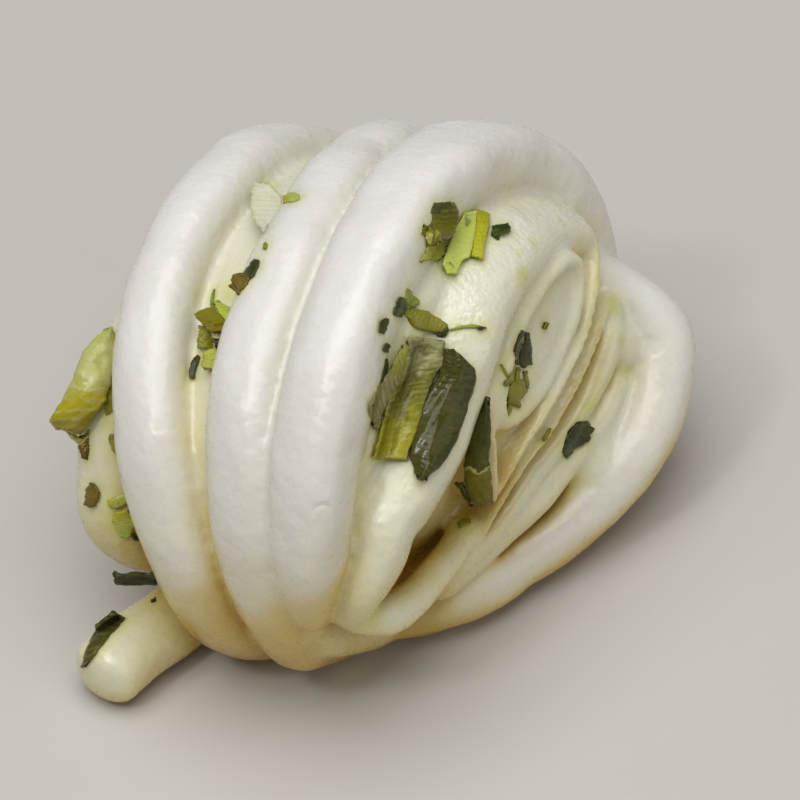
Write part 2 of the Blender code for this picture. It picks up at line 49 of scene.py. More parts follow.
# ---- the dough ----
# Soft wheat dough, proved and steamed: strands wound side by side about a tilted axis, with the
# folded layers and the rolled heart showing at the front right. The strands are rolled out by
# hand, wound, and swell into one another as they steam, so they are knitted into one body here.
MM = 0.001
WINDING_AXIS = (0.807, -0.495, 0.323)   # direction of the axis that the strands are wound about
COIL_ACROSS = 38.0                      # radius of the outer coils, level
COIL_UP = 32.0                          # radius of the outer coils, upright
CENTRE_HEIGHT = 28.65                   # winding centre above the resting face
SETTLE = 1.6                            # how softly the underside turns into the resting face
UNEVEN_SHIFT = 0.22                     # hand-rolled wander of a strand
UNEVEN_WIDTH = 0.03                     # hand-rolled change of width, as a share
GRAIN = 0.655                           # size of a cell when the strands are knitted together
SMOOTHING_PASSES = 3                    # passes that take the steps of the cells off the skin

# Coils run round the winding axis. Each row is the turn from the top in degrees (90 is the back
# right, 270 the front left), the shift along the axis, the swell of the radius, the half width
# and the half thickness.
COILS = {
    "left ridge": dict(closed=True, square=2.4, rows=(
        (0, -20.0, -1.2, 6.0, 5.8),
        (40, -23.3, -2.4, 6.2, 5.6),
        (90, -21.0, -2.5, 6.3, 5.6),
        (135, -17.0, -2.0, 5.8, 5.5),
        (180, -10.0, -1.0, 5.4, 5.2),
        (225, -10.6, 0.0, 6.0, 5.4),
        (255, -7.8, 0.3, 6.3, 5.6),
        (270, -7.6, 0.2, 6.3, 5.7),
        (285, -8.9, 0.1, 6.0, 5.8),
        (315, -13.9, 0.0, 5.9, 5.8))),
    "middle ridge": dict(closed=True, square=2.5, rows=(
        (0, 0.0, 0.3, 5.9, 5.6),
        (30, -4.2, 0.0, 6.0, 5.5),
        (60, -8.0, -0.3, 6.8, 5.5),
        (90, -8.4, -0.3, 7.2, 5.5),
        (135, -6.3, -1.0, 6.8, 5.5),
        (180, -2.0, -1.0, 5.0, 5.0),
        (225, -2.2, -0.3, 4.6, 5.0),
        (255, 4.0, 0.2, 4.9, 5.3),
        (270, 5.5, 0.2, 5.6, 5.4),
        (285, 5.7, 0.2, 6.4, 5.5),
        (315, 4.2, 0.5, 6.2, 5.6))),
    "right ridge": dict(closed=False, square=2.8, rows=(
        (253, 9.8, -1.2, 2.6, 3.4),
        (260, 11.0, -0.7, 2.9, 4.2),
        (268, 12.7, -0.3, 3.5, 4.8),
        (277, 14.2, 0.0, 4.4, 5.3),
        (286, 15.2, 0.0, 5.2, 5.6),
        (315, 15.9, 0.5, 5.8, 5.8),
        (345, 14.8, 1.0, 6.4, 5.8),
        (375, 11.8, 1.4, 7.4, 5.8),
        (405, 9.0, 1.6, 8.0, 5.7),
        (435, 8.0, 1.6, 8.4, 5.2),
        (465, 6.0, 0.8, 8.4, 5.2),
        (500, 5.0, -0.5, 7.6, 5.4),
        (540, 5.0, -1.0, 6.0, 5.2),
        (568, 4.0, -2.0, 5.0, 5.0))),
    "sunk layer": dict(closed=True, square=2.3, rows=(
        (0, -9.5, -5.0, 8.0, 4.6),
        (45, -14.0, -5.0, 8.0, 4.6),
        (90, -15.0, -5.0, 8.0, 5.0),
        (180, -9.0, -5.0, 6.0, 5.0),
        (240, -4.5, -2.4, 5.0, 4.6),
        (265, -2.0, -2.4, 5.0, 4.6),
        (285, -2.2, -3.6, 6.4, 4.8),
        (315, -5.6, -4.8, 8.0, 4.8))),
    "bed of the seam": dict(closed=True, square=2.3, rows=(
        (0, 6.0, -1.8, 5.0, 4.0),
        (45, 0.0, -1.8, 6.0, 4.0),
        (90, -1.5, -2.0, 6.0, 4.0),
        (135, -1.0, -2.6, 6.0, 4.0),
        (180, 1.0, -2.6, 5.0, 4.0),
        (240, 4.6, -1.6, 4.0, 4.0),
        (265, 8.6, -1.2, 4.0, 4.0),
        (285, 10.6, -1.4, 5.0, 4.0),
        (315, 10.2, -1.5, 5.0, 4.0))),
    "bed of the broad layer": dict(closed=False, square=2.3, rows=(
        (252, 9.5, -6.5, 3.5, 4.0),
        (285, 11.5, -7.0, 6.0, 6.0),
        (330, 13.5, -7.0, 8.0, 6.0),
        (375, 12.0, -7.0, 8.0, 6.0),
        (420, 10.0, -7.0, 8.0, 6.0))),
    "far strand": dict(closed=False, square=2.3, rows=(
        (222, -20.0, -15.0, 4.6, 4.6),
        (240, -23.5, -11.0, 5.4, 5.2),
        (254, -25.4, -7.8, 5.6, 5.4),
        (270, -25.8, -6.4, 5.7, 5.4),
        (285, -25.6, -8.0, 5.7, 5.4),
        (310, -25.0, -9.0, 5.8, 5.4),
        (360, -24.6, -9.5, 6.0, 5.3),
        (420, -24.2, -13.0, 5.8, 5.2),
        (500, -24.0, -17.0, 5.6, 5.0),
        (600, -24.0, -21.5, 5.4, 4.8),
        (700, -24.0, -25.0, 5.2, 4.6),
        (780, -23.8, -28.0, 5.0, 4.4))),
}

# Folds run where the rows say: along the winding axis, across it, up from it, the half width, the
# half thickness, and the lean of the face towards the end of the roll in degrees.
FOLDS = {
    "broad layer": dict(square=2.8, tip=0.03, rows=(
        (13.3, -33.0, -9.2, 2.8, 3.0, 10),
        (15.4, -33.3, -6.3, 3.2, 3.4, 12),
        (17.1, -32.2, -3.6, 3.6, 3.8, 14),
        (18.4, -29.5, -0.4, 4.0, 4.3, 18),
        (18.8, -26.8, 2.8, 4.7, 4.8, 22),
        (18.7, -22.9, 4.8, 6.2, 5.2, 26),
        (18.4, -16.3, 8.7, 7.8, 5.6, 32),
        (18.5, -10.7, 12.7, 8.6, 5.6, 34),
        (19.0, -5.7, 17.1, 8.8, 5.6, 34),
        (19.0, 1.6, 20.7, 8.6, 5.6, 34),
        (18.0, 11.4, 21.3, 8.2, 5.2, 34),
        (16.0, 23.3, 16.4, 7.5, 4.4, 28),
        (14.8, 30.6, 10.6, 7.0, 3.2, 18),
        (14.6, 30.2, 7.2, 7.0, 2.3, 8),
        (16.2, 27.4, 4.8, 6.6, 1.6, 0),
        (17.8, 23.4, 2.9, 6.3, 1.3, 0),
        (19.0, 17.5, 0.7, 6.0, 1.1, 0),
        (19.0, 7.8, -2.2, 6.0, 1.0, 0),
        (17.5, -0.5, -5.5, 6.0, 1.0, 0),
        (15.0, -6.2, -10.0, 5.5, 1.1, 0))),
    "wall under the spiral": dict(square=2.4, tip=0.1, rows=(
        (18.5, 2.6, 10.4, 6.0, 1.8, 0),
        (19.0, -2.7, 9.0, 6.0, 1.6, 0),
        (19.0, -5.3, 5.3, 6.0, 1.4, 0),
        (18.5, -6.0, 0.5, 6.0, 1.3, 0),
        (17.5, -6.7, -4.5, 6.0, 1.2, 0),
        (16.0, -6.9, -10.0, 5.0, 1.2, 0))),
    "thin layer": dict(square=2.4, tip=0.1, rows=(
        (8.0, 38.7, -1.6, 6.0, 1.3, 0),
        (12.0, 33.4, -2.2, 6.0, 1.1, 0),
        (15.5, 27.3, -2.8, 6.0, 1.1, 0),
        (17.0, 19.5, -5.0, 6.0, 1.1, 0),
        (17.0, 10.5, -7.4, 6.0, 1.1, 0),
        (15.5, 2.0, -10.1, 6.0, 1.1, 0),
        (13.5, -4.8, -13.1, 6.0, 1.2, 0),
        (10.0, -10.9, -18.5, 5.0, 1.4, 0),
        (7.0, -18.3, -20.2, 4.0, 1.8, 0))),
    "second layer": dict(square=2.6, tip=0.08, rows=(
        (18.7, 32.7, -3.0, 1.6, 2.0, 158),
        (19.7, 30.3, -4.7, 1.9, 2.0, 158),
        (20.4, 27.8, -6.4, 2.2, 2.0, 158),
        (20.3, 23.2, -9.8, 2.4, 2.0, 158),
        (19.7, 17.7, -12.1, 2.4, 2.0, 158),
        (18.8, 11.7, -13.8, 2.3, 2.0, 158),
        (17.8, 6.9, -15.0, 2.1, 2.0, 158),
        (17.1, 1.9, -16.5, 2.0, 2.0, 158),
        (16.3, -2.5, -17.9, 1.9, 2.0, 158),
        (15.5, -7.6, -18.7, 1.8, 2.0, 158),
        (14.3, -13.8, -18.7, 1.7, 2.0, 158),
        (12.3, -20.1, -18.6, 1.6, 2.0, 158))),
    "third layer": dict(square=2.6, tip=0.08, rows=(
        (17.9, 31.2, -12.4, 1.2, 2.0, 158),
        (20.1, 27.0, -14.2, 1.8, 2.0, 158),
        (20.3, 22.4, -16.0, 2.3, 2.0, 158),
        (19.6, 17.1, -17.2, 2.5, 2.0, 158),
        (18.7, 11.6, -18.4, 2.4, 2.0, 158),
        (18.0, 6.3, -19.6, 2.1, 2.0, 158),
        (16.7, 0.5, -20.3, 1.9, 2.0, 158),
        (15.4, -4.6, -21.0, 1.8, 2.0, 158),
        (14.3, -10.8, -20.9, 1.7, 2.0, 158),
        (12.9, -17.7, -20.3, 1.6, 2.0, 158))),
    "outer lip": dict(square=2.4, tip=0.1, rows=(
        (3.0, 28.0, 3.0, 5.0, 4.0, 0),
        (12.3, 35.0, -3.0, 7.0, 4.4, 5),
        (18.2, 37.6, -12.9, 9.0, 5.6, 18),
        (19.3, 32.8, -19.9, 9.5, 6.0, 22),
        (18.8, 25.4, -24.4, 9.5, 6.0, 20),
        (16.2, 15.6, -27.5, 8.5, 5.6, 12),
        (12.8, 3.7, -28.6, 7.0, 4.8, 0),
        (9.4, -9.6, -26.4, 5.5, 4.4, 0),
        (6.0, -18.0, -23.7, 4.0, 4.0, 0))),
    "front fold": dict(square=2.3, tip=0.08, rows=(
        (13.9, -5.3, -16.3, 1.8, 1.8, 0),
        (15.4, -8.7, -14.7, 2.1, 2.1, 0),
        (15.9, -13.8, -14.7, 2.3, 2.3, 0),
        (16.1, -18.6, -14.6, 2.4, 2.4, 0),
        (16.1, -23.9, -14.3, 2.6, 2.6, 0),
        (15.5, -29.3, -12.7, 2.9, 2.9, 0),
        (14.0, -32.9, -9.8, 3.0, 3.0, 0),
        (13.6, -34.2, -5.9, 2.7, 2.7, 0),
        (14.0, -33.4, -2.2, 2.3, 2.3, 0))),
    "tail": dict(square=2.3, tip=0.12, rows=(
        (-11.6, -7.6, -19.3, 5.0, 5.0, 0),
        (-17.0, -20.3, -18.0, 5.0, 5.0, 0),
        (-20.4, -30.5, -18.2, 5.1, 5.1, 0),
        (-21.5, -35.6, -17.7, 5.4, 5.1, 0),
        (-22.9, -40.9, -17.2, 5.5, 5.1, 0),
        (-23.6, -46.4, -16.8, 5.4, 5.1, 0),
        (-24.0, -50.3, -16.6, 4.8, 5.1, 0))),
}

# The rolled heart of the spiral end is an oval: its centre, its half length and half width, its
# turn in degrees, and of its rim the place along the axis, the half width, the half thickness and
# how much higher it stands on its upper side.
HEART_CENTRE = (9.6, 7.6)
HEART_HALF_LENGTH = 13.3
HEART_HALF_WIDTH = 6.1
HEART_TURN = 18.0
RIM_ALONG = 20.3
RIM_HALF_WIDTH = 5.0
RIM_HALF_THICKNESS = 1.9
RIM_TILT = 0.08

# Lumps fill the inside: centre and radii along, across and up, turn in the winding plane, power.
LUMPS = (
    ((18.6, 9.6, 7.6), (5.6, 14.6, 7.4), 18.0, 4.0),
    ((-4.0, 0.0, 0.0), (20.0, 34.0, 28.0), 0.0, 2.0),
    ((7.0, 12.0, 2.0), (15.5, 24.0, 15.0), 25.5, 2.5),
    ((0.5, 10.0, -8.0), (14.5, 26.0, 20.0), 0.0, 2.5),
    ((7.0, 24.0, -12.0), (12.0, 13.0, 9.0), 0.0, 3.0),
    ((16.0, 31.0, -12.0), (7.2, 5.4, 9.4), 20.0, 2.2),
    ((15.8, 17.6, -21.0), (7.0, 9.0, 4.8), 42.0, 2.2),
)
FOOT_CENTRE = (-1.0, 3.0, -23.0)        # the dough that has sunk to the foot, in plain x, y, z
FOOT_RADII = (30.0, 28.0, 9.0)

scene = bpy.context.scene
axis = Vector(WINDING_AXIS).normalized()
level = Vector((-axis.y, axis.x, 0.0)).normalized()
upright = axis.cross(level)
FRAME = np.array((axis, level, upright))


def placed(points):
    """Points given along, across and up from the winding centre, in metres above the floor."""
    out = np.asarray(points, float) @ FRAME
    out[:, 2] += CENTRE_HEIGHT
    return out * MM


def eased(at, stations, values, period=None):
    """Smooth curve through a few values, read at many places."""
    xs = np.asarray(stations, float)
    ys = np.asarray(values, float)
    if period:
        xs = np.concatenate((xs - period, xs, xs + period))
        ys = np.concatenate((ys, ys, ys))
    slope = np.gradient(ys, xs)
    i = np.clip(np.searchsorted(xs, at) - 1, 0, len(xs) - 2)
    run = xs[i + 1] - xs[i]
    t = np.clip((at - xs[i]) / run, 0.0, 1.0)
    rise = (2 * t**3 - 3 * t**2 + 1) * ys[i] + (3 * t**2 - 2 * t**3) * ys[i + 1]
    return rise + ((t**3 - 2 * t**2 + t) * slope[i] + (t**3 - t**2) * slope[i + 1]) * run


def rounded_tips(count, share):
    """Scale of the section along an open strand, which closes in a half round at both ends."""
    near = np.minimum(np.arange(count), np.arange(count)[::-1]) / (count - 1)
    t = np.clip(near / share, 0.0, 1.0)
    return 0.03 + 0.97 * np.sqrt(1.0 - (1.0 - t) ** 2)


def strand(centre, outward, half_width, half_thickness, closed, square, sides=26):
    """Skin a strand whose section changes along its length. Returns vertices and faces."""
    if closed:
        tangent = np.roll(centre, -1, 0) - np.roll(centre, 1, 0)
    else:
        tangent = np.gradient(centre, axis=0)
    tangent /= np.linalg.norm(tangent, axis=1)[:, None]
    outward = outward - (outward * tangent).sum(1)[:, None] * tangent
    outward /= np.linalg.norm(outward, axis=1)[:, None]
    sideways = np.cross(tangent, outward)
    angle = np.linspace(0.0, 2 * np.pi, sides, endpoint=False)
    c, s = np.cos(angle), np.sin(angle)
    reach = (np.abs(c) ** square + np.abs(s) ** square) ** (-1.0 / square)
    c, s = c * reach, s * reach
    points = (centre[:, None]
              + sideways[:, None] * c[None, :, None] * half_width[:, None, None]
              + outward[:, None] * s[None, :, None] * half_thickness[:, None, None])
    count = len(centre)
    faces = []
    for i in range(count if closed else count - 1):
        j = (i + 1) % count
        for q in range(sides):
            r = (q + 1) % sides
            faces.append((i * sides + q, i * sides + r, j * sides + r, j * sides + q))
    if not closed:
        faces.append(tuple(reversed(range(sides))))
        faces.append(tuple(range((count - 1) * sides, count * sides)))
    return placed(points.reshape(-1, 3)), faces


def coil(rows, closed, square, phase):
    """A strand wound round the axis."""
    rows = np.array(rows, float)
    count = 160
    first, last = (0.0, 360.0) if closed else (rows[0, 0], rows[-1, 0])
    turn = np.linspace(first, last, count, endpoint=not closed)
    period = 360.0 if closed else None
    shift, swell, width, thick = (eased(turn, rows[:, 0], rows[:, k], period) for k in range(1, 5))
    f = np.radians(turn)
    shift = shift + UNEVEN_SHIFT * (np.sin(3 * f + phase) + 0.6 * np.sin(7 * f + 2.1 * phase))
    width = width * (1.0 + UNEVEN_WIDTH * np.sin(5 * f + 1.7 * phase))
    thick = thick * (1.0 + UNEVEN_WIDTH * np.sin(4 * f + 2.9 * phase))
    if not closed:
        tips = rounded_tips(count, 0.03)
        width, thick = width * tips, thick * tips
    centre = np.stack((shift, (COIL_ACROSS + swell) * np.sin(f), (COIL_UP + swell) * np.cos(f)), 1)
    outward = np.stack((np.zeros(count), np.sin(f), np.cos(f)), 1)
    return strand(centre, outward, width, thick, closed, square)


def fold(rows, square, tip=0.1, closed=False, count=130):
    """A strand or a layer laid along a path of its own."""
    rows = np.array(rows, float)
    last = len(rows) if closed else len(rows) - 1
    at = np.linspace(0.0, last, count, endpoint=not closed)
    stations = np.arange(len(rows))
    period = len(rows) if closed else None
    along, across, up, width, thick, lean = (
        eased(at, stations, rows[:, k], period) for k in range(6))
    centre = np.stack((along, across, up), 1)
    if closed:
        run = np.roll(centre, -1, 0) - np.roll(centre, 1, 0)
        middle = centre.mean(0)
    else:
        run = np.gradient(centre, axis=0)
        middle = np.zeros(3)
        tips = rounded_tips(count, tip)
        width, thick = width * tips, thick * tips
    flat = np.stack((np.zeros(count), run[:, 2], -run[:, 1]), 1)
    flat /= np.linalg.norm(flat, axis=1)[:, None]
    if (flat * (centre - middle)).sum() < 0.0:
        flat = -flat
    lean = np.radians(lean)[:, None]
    outward = flat * np.cos(lean) + np.array((1.0, 0.0, 0.0)) * np.sin(lean)
    return strand(centre, outward, width, thick, closed, square)


def heart_rim():
    """The raised rim of the rolled heart."""
    turn = math.radians(HEART_TURN)
    rows = []
    steps = 16
    for k in range(steps):
        a = 2 * math.pi * k / steps
        x = HEART_HALF_LENGTH * math.cos(a)
        y = HEART_HALF_WIDTH * math.sin(a)
        across = HEART_CENTRE[0] + x * math.cos(turn) - y * math.sin(turn)
        up = HEART_CENTRE[1] + x * math.sin(turn) + y * math.cos(turn)
        rows.append((RIM_ALONG + RIM_TILT * y, across, up, RIM_HALF_WIDTH, RIM_HALF_THICKNESS, 0.0))
    return fold(rows, 2.3, closed=True, count=96)


def ball():
    """Vertices and faces of a ball of radius one."""
    bpy.ops.mesh.primitive_uv_sphere_add(segments=64, ring_count=32, radius=1.0)
    made = bpy.context.object
    points = read_points(made.data)
    faces = [tuple(p.vertices) for p in made.data.polygons]
    bpy.data.objects.remove(made)
    return points, faces


def lump(centre, radii, turn, power):
    """A round or squarish lump set square to the winding axis."""
    points, faces = ball()
    around = np.hypot(points[:, 1], points[:, 2])
    reach = (np.abs(points[:, 0]) ** power + around ** power) ** (-1.0 / power)
    points = points * reach[:, None] * np.array(radii)
    t = math.radians(turn)
    across = points[:, 1] * math.cos(t) - points[:, 2] * math.sin(t)
    up = points[:, 1] * math.sin(t) + points[:, 2] * math.cos(t)
    points = np.stack((points[:, 0], across, up), 1) + np.array(centre)
    return placed(points), faces


def foot():
    """The dough that has sunk to the foot of the roll."""
    points, faces = ball()
    points = points * np.array(FOOT_RADII) + np.array(FOOT_CENTRE)
    points[:, 2] += CENTRE_HEIGHT
    return points * MM, faces


def settled(points):
    """Let the underside sink: nothing goes far below the floor, and the turn-in stays round."""
    soft = SETTLE * MM
    q = points[:, 2] / soft
    out = points.copy()
    out[:, 2] = soft * np.logaddexp(0.0, q) - 0.35 * MM
    return out


def joined(parts):
    """One list of vertices and one of faces from many, and which part each vertex is of."""
    points = []
    faces = []
    labels = []
    offset = 0
    for number, (some_points, some_faces) in enumerate(parts):
        points.append(settled(some_points))
        faces.extend(tuple(v + offset for v in f) for f in some_faces)
        labels.append(np.full(len(some_points), number))
        offset += len(some_points)
    return np.concatenate(points), faces, np.concatenate(labels)


def read_points(mesh):
    """A mesh's vertices as an array."""
    flat = np.empty(len(mesh.vertices) * 3)
    mesh.vertices.foreach_get("co", flat)
    return flat.reshape(-1, 3)


def read_normals(mesh):
    """A mesh's vertex normals as an array."""
    flat = np.empty(len(mesh.vertices) * 3)
    mesh.vertex_normals.foreach_get("vector", flat)
    return flat.reshape(-1, 3)


def write_points(mesh, points):
    """Put the vertices where the array says."""
    mesh.vertices.foreach_set("co", points.ravel())
    mesh.update()


def neighbours_mean(values, edges, passes):
    """Average each vertex's values with its neighbours', many times over."""
    count = len(values)
    values = values.reshape(count, -1).copy()
    degree = np.bincount(edges.ravel(), minlength=count)[:, None]
    for _ in range(passes):
        total = np.stack([np.bincount(edges[:, 0], values[edges[:, 1], k], count)
                          + np.bincount(edges[:, 1], values[edges[:, 0], k], count)
                          for k in range(values.shape[1])], 1)
        values += total / degree - values
    return values


def read_edges(mesh):
    """A mesh's edges as pairs of vertex numbers."""
    flat = np.empty(len(mesh.edges) * 2, int)
    mesh.edges.foreach_get("vertices", flat)
    return flat.reshape(-1, 2)


def ripple(points, wavelength, height, seed):
    """A gentle random unevenness in space, from a few crossing waves."""
    rng = np.random.default_rng(seed)
    total = np.zeros(len(points))
    waves = 14
    for _ in range(waves):
        way = rng.normal(size=3)
        way *= 2 * np.pi / (np.linalg.norm(way) * wavelength * rng.uniform(0.7, 1.5))
        total += np.sin(points @ way + rng.uniform(0.0, 2 * np.pi))
    return total * height / math.sqrt(waves)


def new_object(name, points, faces):
    """A new object at the origin with this mesh."""
    mesh = bpy.data.meshes.new(name)
    mesh.from_pydata(points.tolist(), [], faces)
    made = bpy.data.objects.new(name, mesh)
    scene.collection.objects.link(made)
    bpy.ops.object.select_all(action="DESELECT")
    bpy.context.view_layer.objects.active = made
    made.select_set(True)
    return made


# The outer turns and the foot have dried a little; everything else is an inner, damp layer.
OUTER_STRANDS = ("left ridge", "middle ridge", "right ridge", "outer lip")
parts = []
inner_parts = []
for number, (name, spec) in enumerate(COILS.items()):
    parts.append(coil(spec["rows"], spec["closed"], spec["square"], 1.3 * number + 0.4))
    inner_parts.append(name not in OUTER_STRANDS)
for name, spec in FOLDS.items():
    parts.append(fold(spec["rows"], spec["square"], spec["tip"]))
    inner_parts.append(name not in OUTER_STRANDS)
parts.append(heart_rim())
inner_parts.append(True)
for spec in LUMPS:
    parts.append(lump(*spec))
    inner_parts.append(True)
parts.append(foot())
inner_parts.append(False)
strand_points, strand_faces, strand_labels = joined(parts)

dough = new_object("steamed_dough", strand_points, strand_faces)
knit = dough.modifiers.new("knit", "REMESH")
knit.mode = "VOXEL"
knit.voxel_size = GRAIN * MM
knit.use_smooth_shade = True
bpy.ops.object.modifier_apply(modifier="knit")
smooth = dough.modifiers.new("smooth", "SMOOTH")
smooth.factor = 0.5
smooth.iterations = SMOOTHING_PASSES
bpy.ops.object.modifier_apply(modifier="smooth")

# The skin: seams are evened out and drawn in a little, and the hand and the steam have left a
# faint unevenness of its own on every ridge.
HOLLOW_PASSES = 30                      # averaging passes that show how hollow a place is
SEAM_HOLLOW = 0.4                       # a place this hollow is a whole seam
SEAM_EVENED = 0.8                       # share of the way that a seam is evened out
CREASE_HOLLOW = 0.55                    # a place this hollow is a whole crease
DRAWN_IN_HOLLOW = 0.6                   # a place this hollow is drawn in all the way
DRAWN_IN = 0.30                         # how far the deepest seams are drawn in
FRONT_REACH = 43.78                     # how far the roll stands out at the front at most
RIPPLES = ((14.0, 0.16, 3), (5.0, 0.045, 4), (2.2, 0.014, 5))   # length, height and seed


def hollowness(points, normals, edges):
    """How far each spot lies below its wider surroundings."""
    return ((neighbours_mean(points, edges, HOLLOW_PASSES) - points) * normals).sum(1) / MM


skin = dough.data
edges = read_edges(skin)
points = read_points(skin)
hollow = hollowness(points, read_normals(skin), edges)
seam = neighbours_mean(np.clip(hollow / SEAM_HOLLOW, 0.0, 1.0), edges, 2)
points += SEAM_EVENED * seam * (neighbours_mean(points, edges, 3) - points)
write_points(skin, points)
normals = read_normals(skin)
hollow = hollowness(points, normals, edges)
crease = np.clip(hollow / CREASE_HOLLOW, 0.0, 1.0)
points += normals * (-DRAWN_IN * np.clip(hollow / DRAWN_IN_HOLLOW, 0.0, 1.0) ** 2 * MM)[:, None]
points += normals * sum(ripple(points, length * MM, height * MM, seed)
                        for length, height, seed in RIPPLES)[:, None]
points[:, 2] = np.maximum(points[:, 2], 0.0)
points[:, 1] = np.maximum(points[:, 1], -FRONT_REACH * MM)
write_points(skin, points)
crease_wide = neighbours_mean(np.clip(hollow, -0.5, 1.0), edges, 40)[:, 0]

# Each spot of the skin takes after the strand nearest to it: the inner layers have stayed damp.
finder = KDTree(len(strand_points))
for number, place in enumerate(strand_points):
    finder.insert(place, number)
finder.balance()
near = np.array([finder.find(p)[1] for p in points])
inner = neighbours_mean(np.array(inner_parts, float)[strand_labels[near]], edges, 12)[:, 0]


def keep_values(mesh, name, values):
    """Store a number for each vertex, for the material to read."""
    layer = mesh.attributes.get(name) or mesh.attributes.new(name, "FLOAT", "POINT")
    layer.data.foreach_set("value", np.asarray(values, np.float32))


# How much of the sky each spot of the skin is shut off from, over the dough and the table: the dough is
# painted darker and yellower there, as shade with a little real yellowing of the folds, which stay damp.
def sheltered(points, normals, edges):
    """The share of the open sky hidden from each vertex, found at some and spread to the rest."""
    tree = BVHTree.FromObject(dough, bpy.context.evaluated_depsgraph_get())
    every, rays, reach, lift = 4, 20, 0.06, 0.0004
    spreading_passes, softening_passes = 10, 14
    steps = np.arange(rays) + 0.5
    polar = np.sqrt(steps / rays)
    around = steps * math.pi * (3.0 - math.sqrt(5.0))
    local = np.stack([polar * np.cos(around), polar * np.sin(around), np.sqrt(1.0 - polar ** 2)], 1)
    found = np.zeros(len(points))
    known = np.zeros(len(points))
    for number in range(0, len(points), every):
        out = normals[number]
        aside = np.cross(out, (0.0, 1.0, 0.0) if abs(out[1]) < 0.9 else (1.0, 0.0, 0.0))
        aside /= np.linalg.norm(aside)
        ways = local @ np.stack([aside, np.cross(out, aside), out])
        start = Vector(points[number] + out * lift)
        shut = sum(1.0 for way in ways
                   if way[2] < 0.0 or tree.ray_cast(start, Vector(way), reach)[0] is not None)
        found[number] = shut / rays
        known[number] = 1.0
    both = neighbours_mean(np.stack([found, known], 1), edges, spreading_passes)
    share = both[:, 0] / np.maximum(both[:, 1], 1e-6)
    return neighbours_mean(share, edges, softening_passes)[:, 0]


keep_values(skin, "shelter", sheltered(points, read_normals(skin), edges))
# Painted shade: the creases darken the dough's colour a little.
keep_values(skin, "crease", np.clip(0.5 * crease + 0.8 * np.clip(crease_wide, 0.0, 1.0), 0.0, 1.0))
keep_values(skin, "inner", inner)

# What lies on the dough has its place on a flat plate that leans back over the winding centre: so
# far to the side and so far up its slant. It is laid straight back from there onto the dough.
PLATE_FACES_UP = 47.0                   # how far the plate faces up from the level, in degrees
PLATE_REACH = 90.0                      # how far in front of the winding centre the way back starts

lay = math.radians(PLATE_FACES_UP)
TOWARDS = Vector((0.0, -math.cos(lay), math.sin(lay)))
SLANT = Vector((0.0, math.sin(lay), math.cos(lay)))
SIDE = Vector((1.0, 0.0, 0.0))
HEART = Vector((0.0, 0.0, CENTRE_HEIGHT * MM))
surface = BVHTree.FromObject(dough, bpy.context.evaluated_depsgraph_get())


def plate_point(x, slant, depth):
    """A point given on the slanting plate and its distance in front of the winding centre."""
    return HEART + (SIDE * x + SLANT * slant + TOWARDS * depth) * MM


def landing(x, slant):
    """Where a thing laid on the dough from a place on the plate comes to lie, or None beside it."""
    start = plate_point(x, slant, PLATE_REACH)
    return surface.ray_cast(start, -TOWARDS, 2 * PLATE_REACH * MM)[0]


def dough_depth(x, slant):
    """How far in front of the winding centre the dough is there, or not a number beside it."""
    hit = landing(x, slant)
    return math.nan if hit is None else (hit - HEART).dot(TOWARDS) / MM


class Graph:
    """A material's nodes, added and wired by short calls."""

    def __init__(self, tree):
        self.tree = tree

    def add(self, kind, **settings):
        """A node; settings that name an input give its value or the socket that feeds it."""
        node = self.tree.nodes.new(kind)
        for name, value in settings.items():
            if hasattr(node, name):
                setattr(node, name, value)
            else:
                self.feed(node, name.replace("_", " "), value)
        return node

    def feed(self, node, name, value):
        """Give one input a value, or wire a socket to it."""
        socket = node.inputs[name] if isinstance(name, int) else next(
            s for s in node.inputs if s.name.lower() == name.lower() and s.enabled)
        if isinstance(value, bpy.types.NodeSocket):
            self.tree.links.new(value, socket)
        else:
            socket.default_value = value

    def sum(self, operation, *values):
        """A Math node's result."""
        node = self.tree.nodes.new("ShaderNodeMath")
        node.operation = operation
        for number, value in enumerate(values):
            self.feed(node, number, value)
        return node.outputs[0]

    def mixed(self, share, first, second):
        """One colour over another by a share."""
        node = self.tree.nodes.new("ShaderNodeMix")
        node.data_type = "RGBA"
        self.feed(node, 0, share)
        self.feed(node, 6, first)
        self.feed(node, 7, second)
        return node.outputs[2]

    def stretched(self, value, low, high, to_low=0.0, to_high=1.0):
        """A value mapped from one range to another, and kept inside it."""
        node = self.tree.nodes.new("ShaderNodeMapRange")
        self.feed(node, 0, value)
        for number, limit in enumerate((low, high, to_low, to_high), 1):
            self.feed(node, number, limit)
        return node.outputs[0]

    def ramp(self, value, marks):
        """A run of colours, each at its place."""
        node = self.add("ShaderNodeValToRGB", Fac=value)
        bar = node.color_ramp
        while len(bar.elements) < len(marks):
            bar.elements.new(0.5)
        for element, (at, colour) in zip(bar.elements, marks):
            element.position = at
            element.color = colour
        return node.outputs["Color"]


def new_material(name):
    """A material with only a Principled shader. Returns it, its graph and the shader."""
    made = bpy.data.materials.new(name)
    made.use_nodes = True
    return made, Graph(made.node_tree), made.node_tree.nodes["Principled BSDF"]


# A bubble under the skin of the third outer turn has burst and left a crescent-shaped dimple.
DIMPLE_PLACE = (-7.8, -15.7)
DIMPLE_RADIUS = 1.15
DIMPLE_WIDTH = 0.60                     # how far its groove reaches to each side
DIMPLE_DEPTH = 0.8                      # as a share of the whole relief of the skin
dimple_at = landing(*DIMPLE_PLACE)


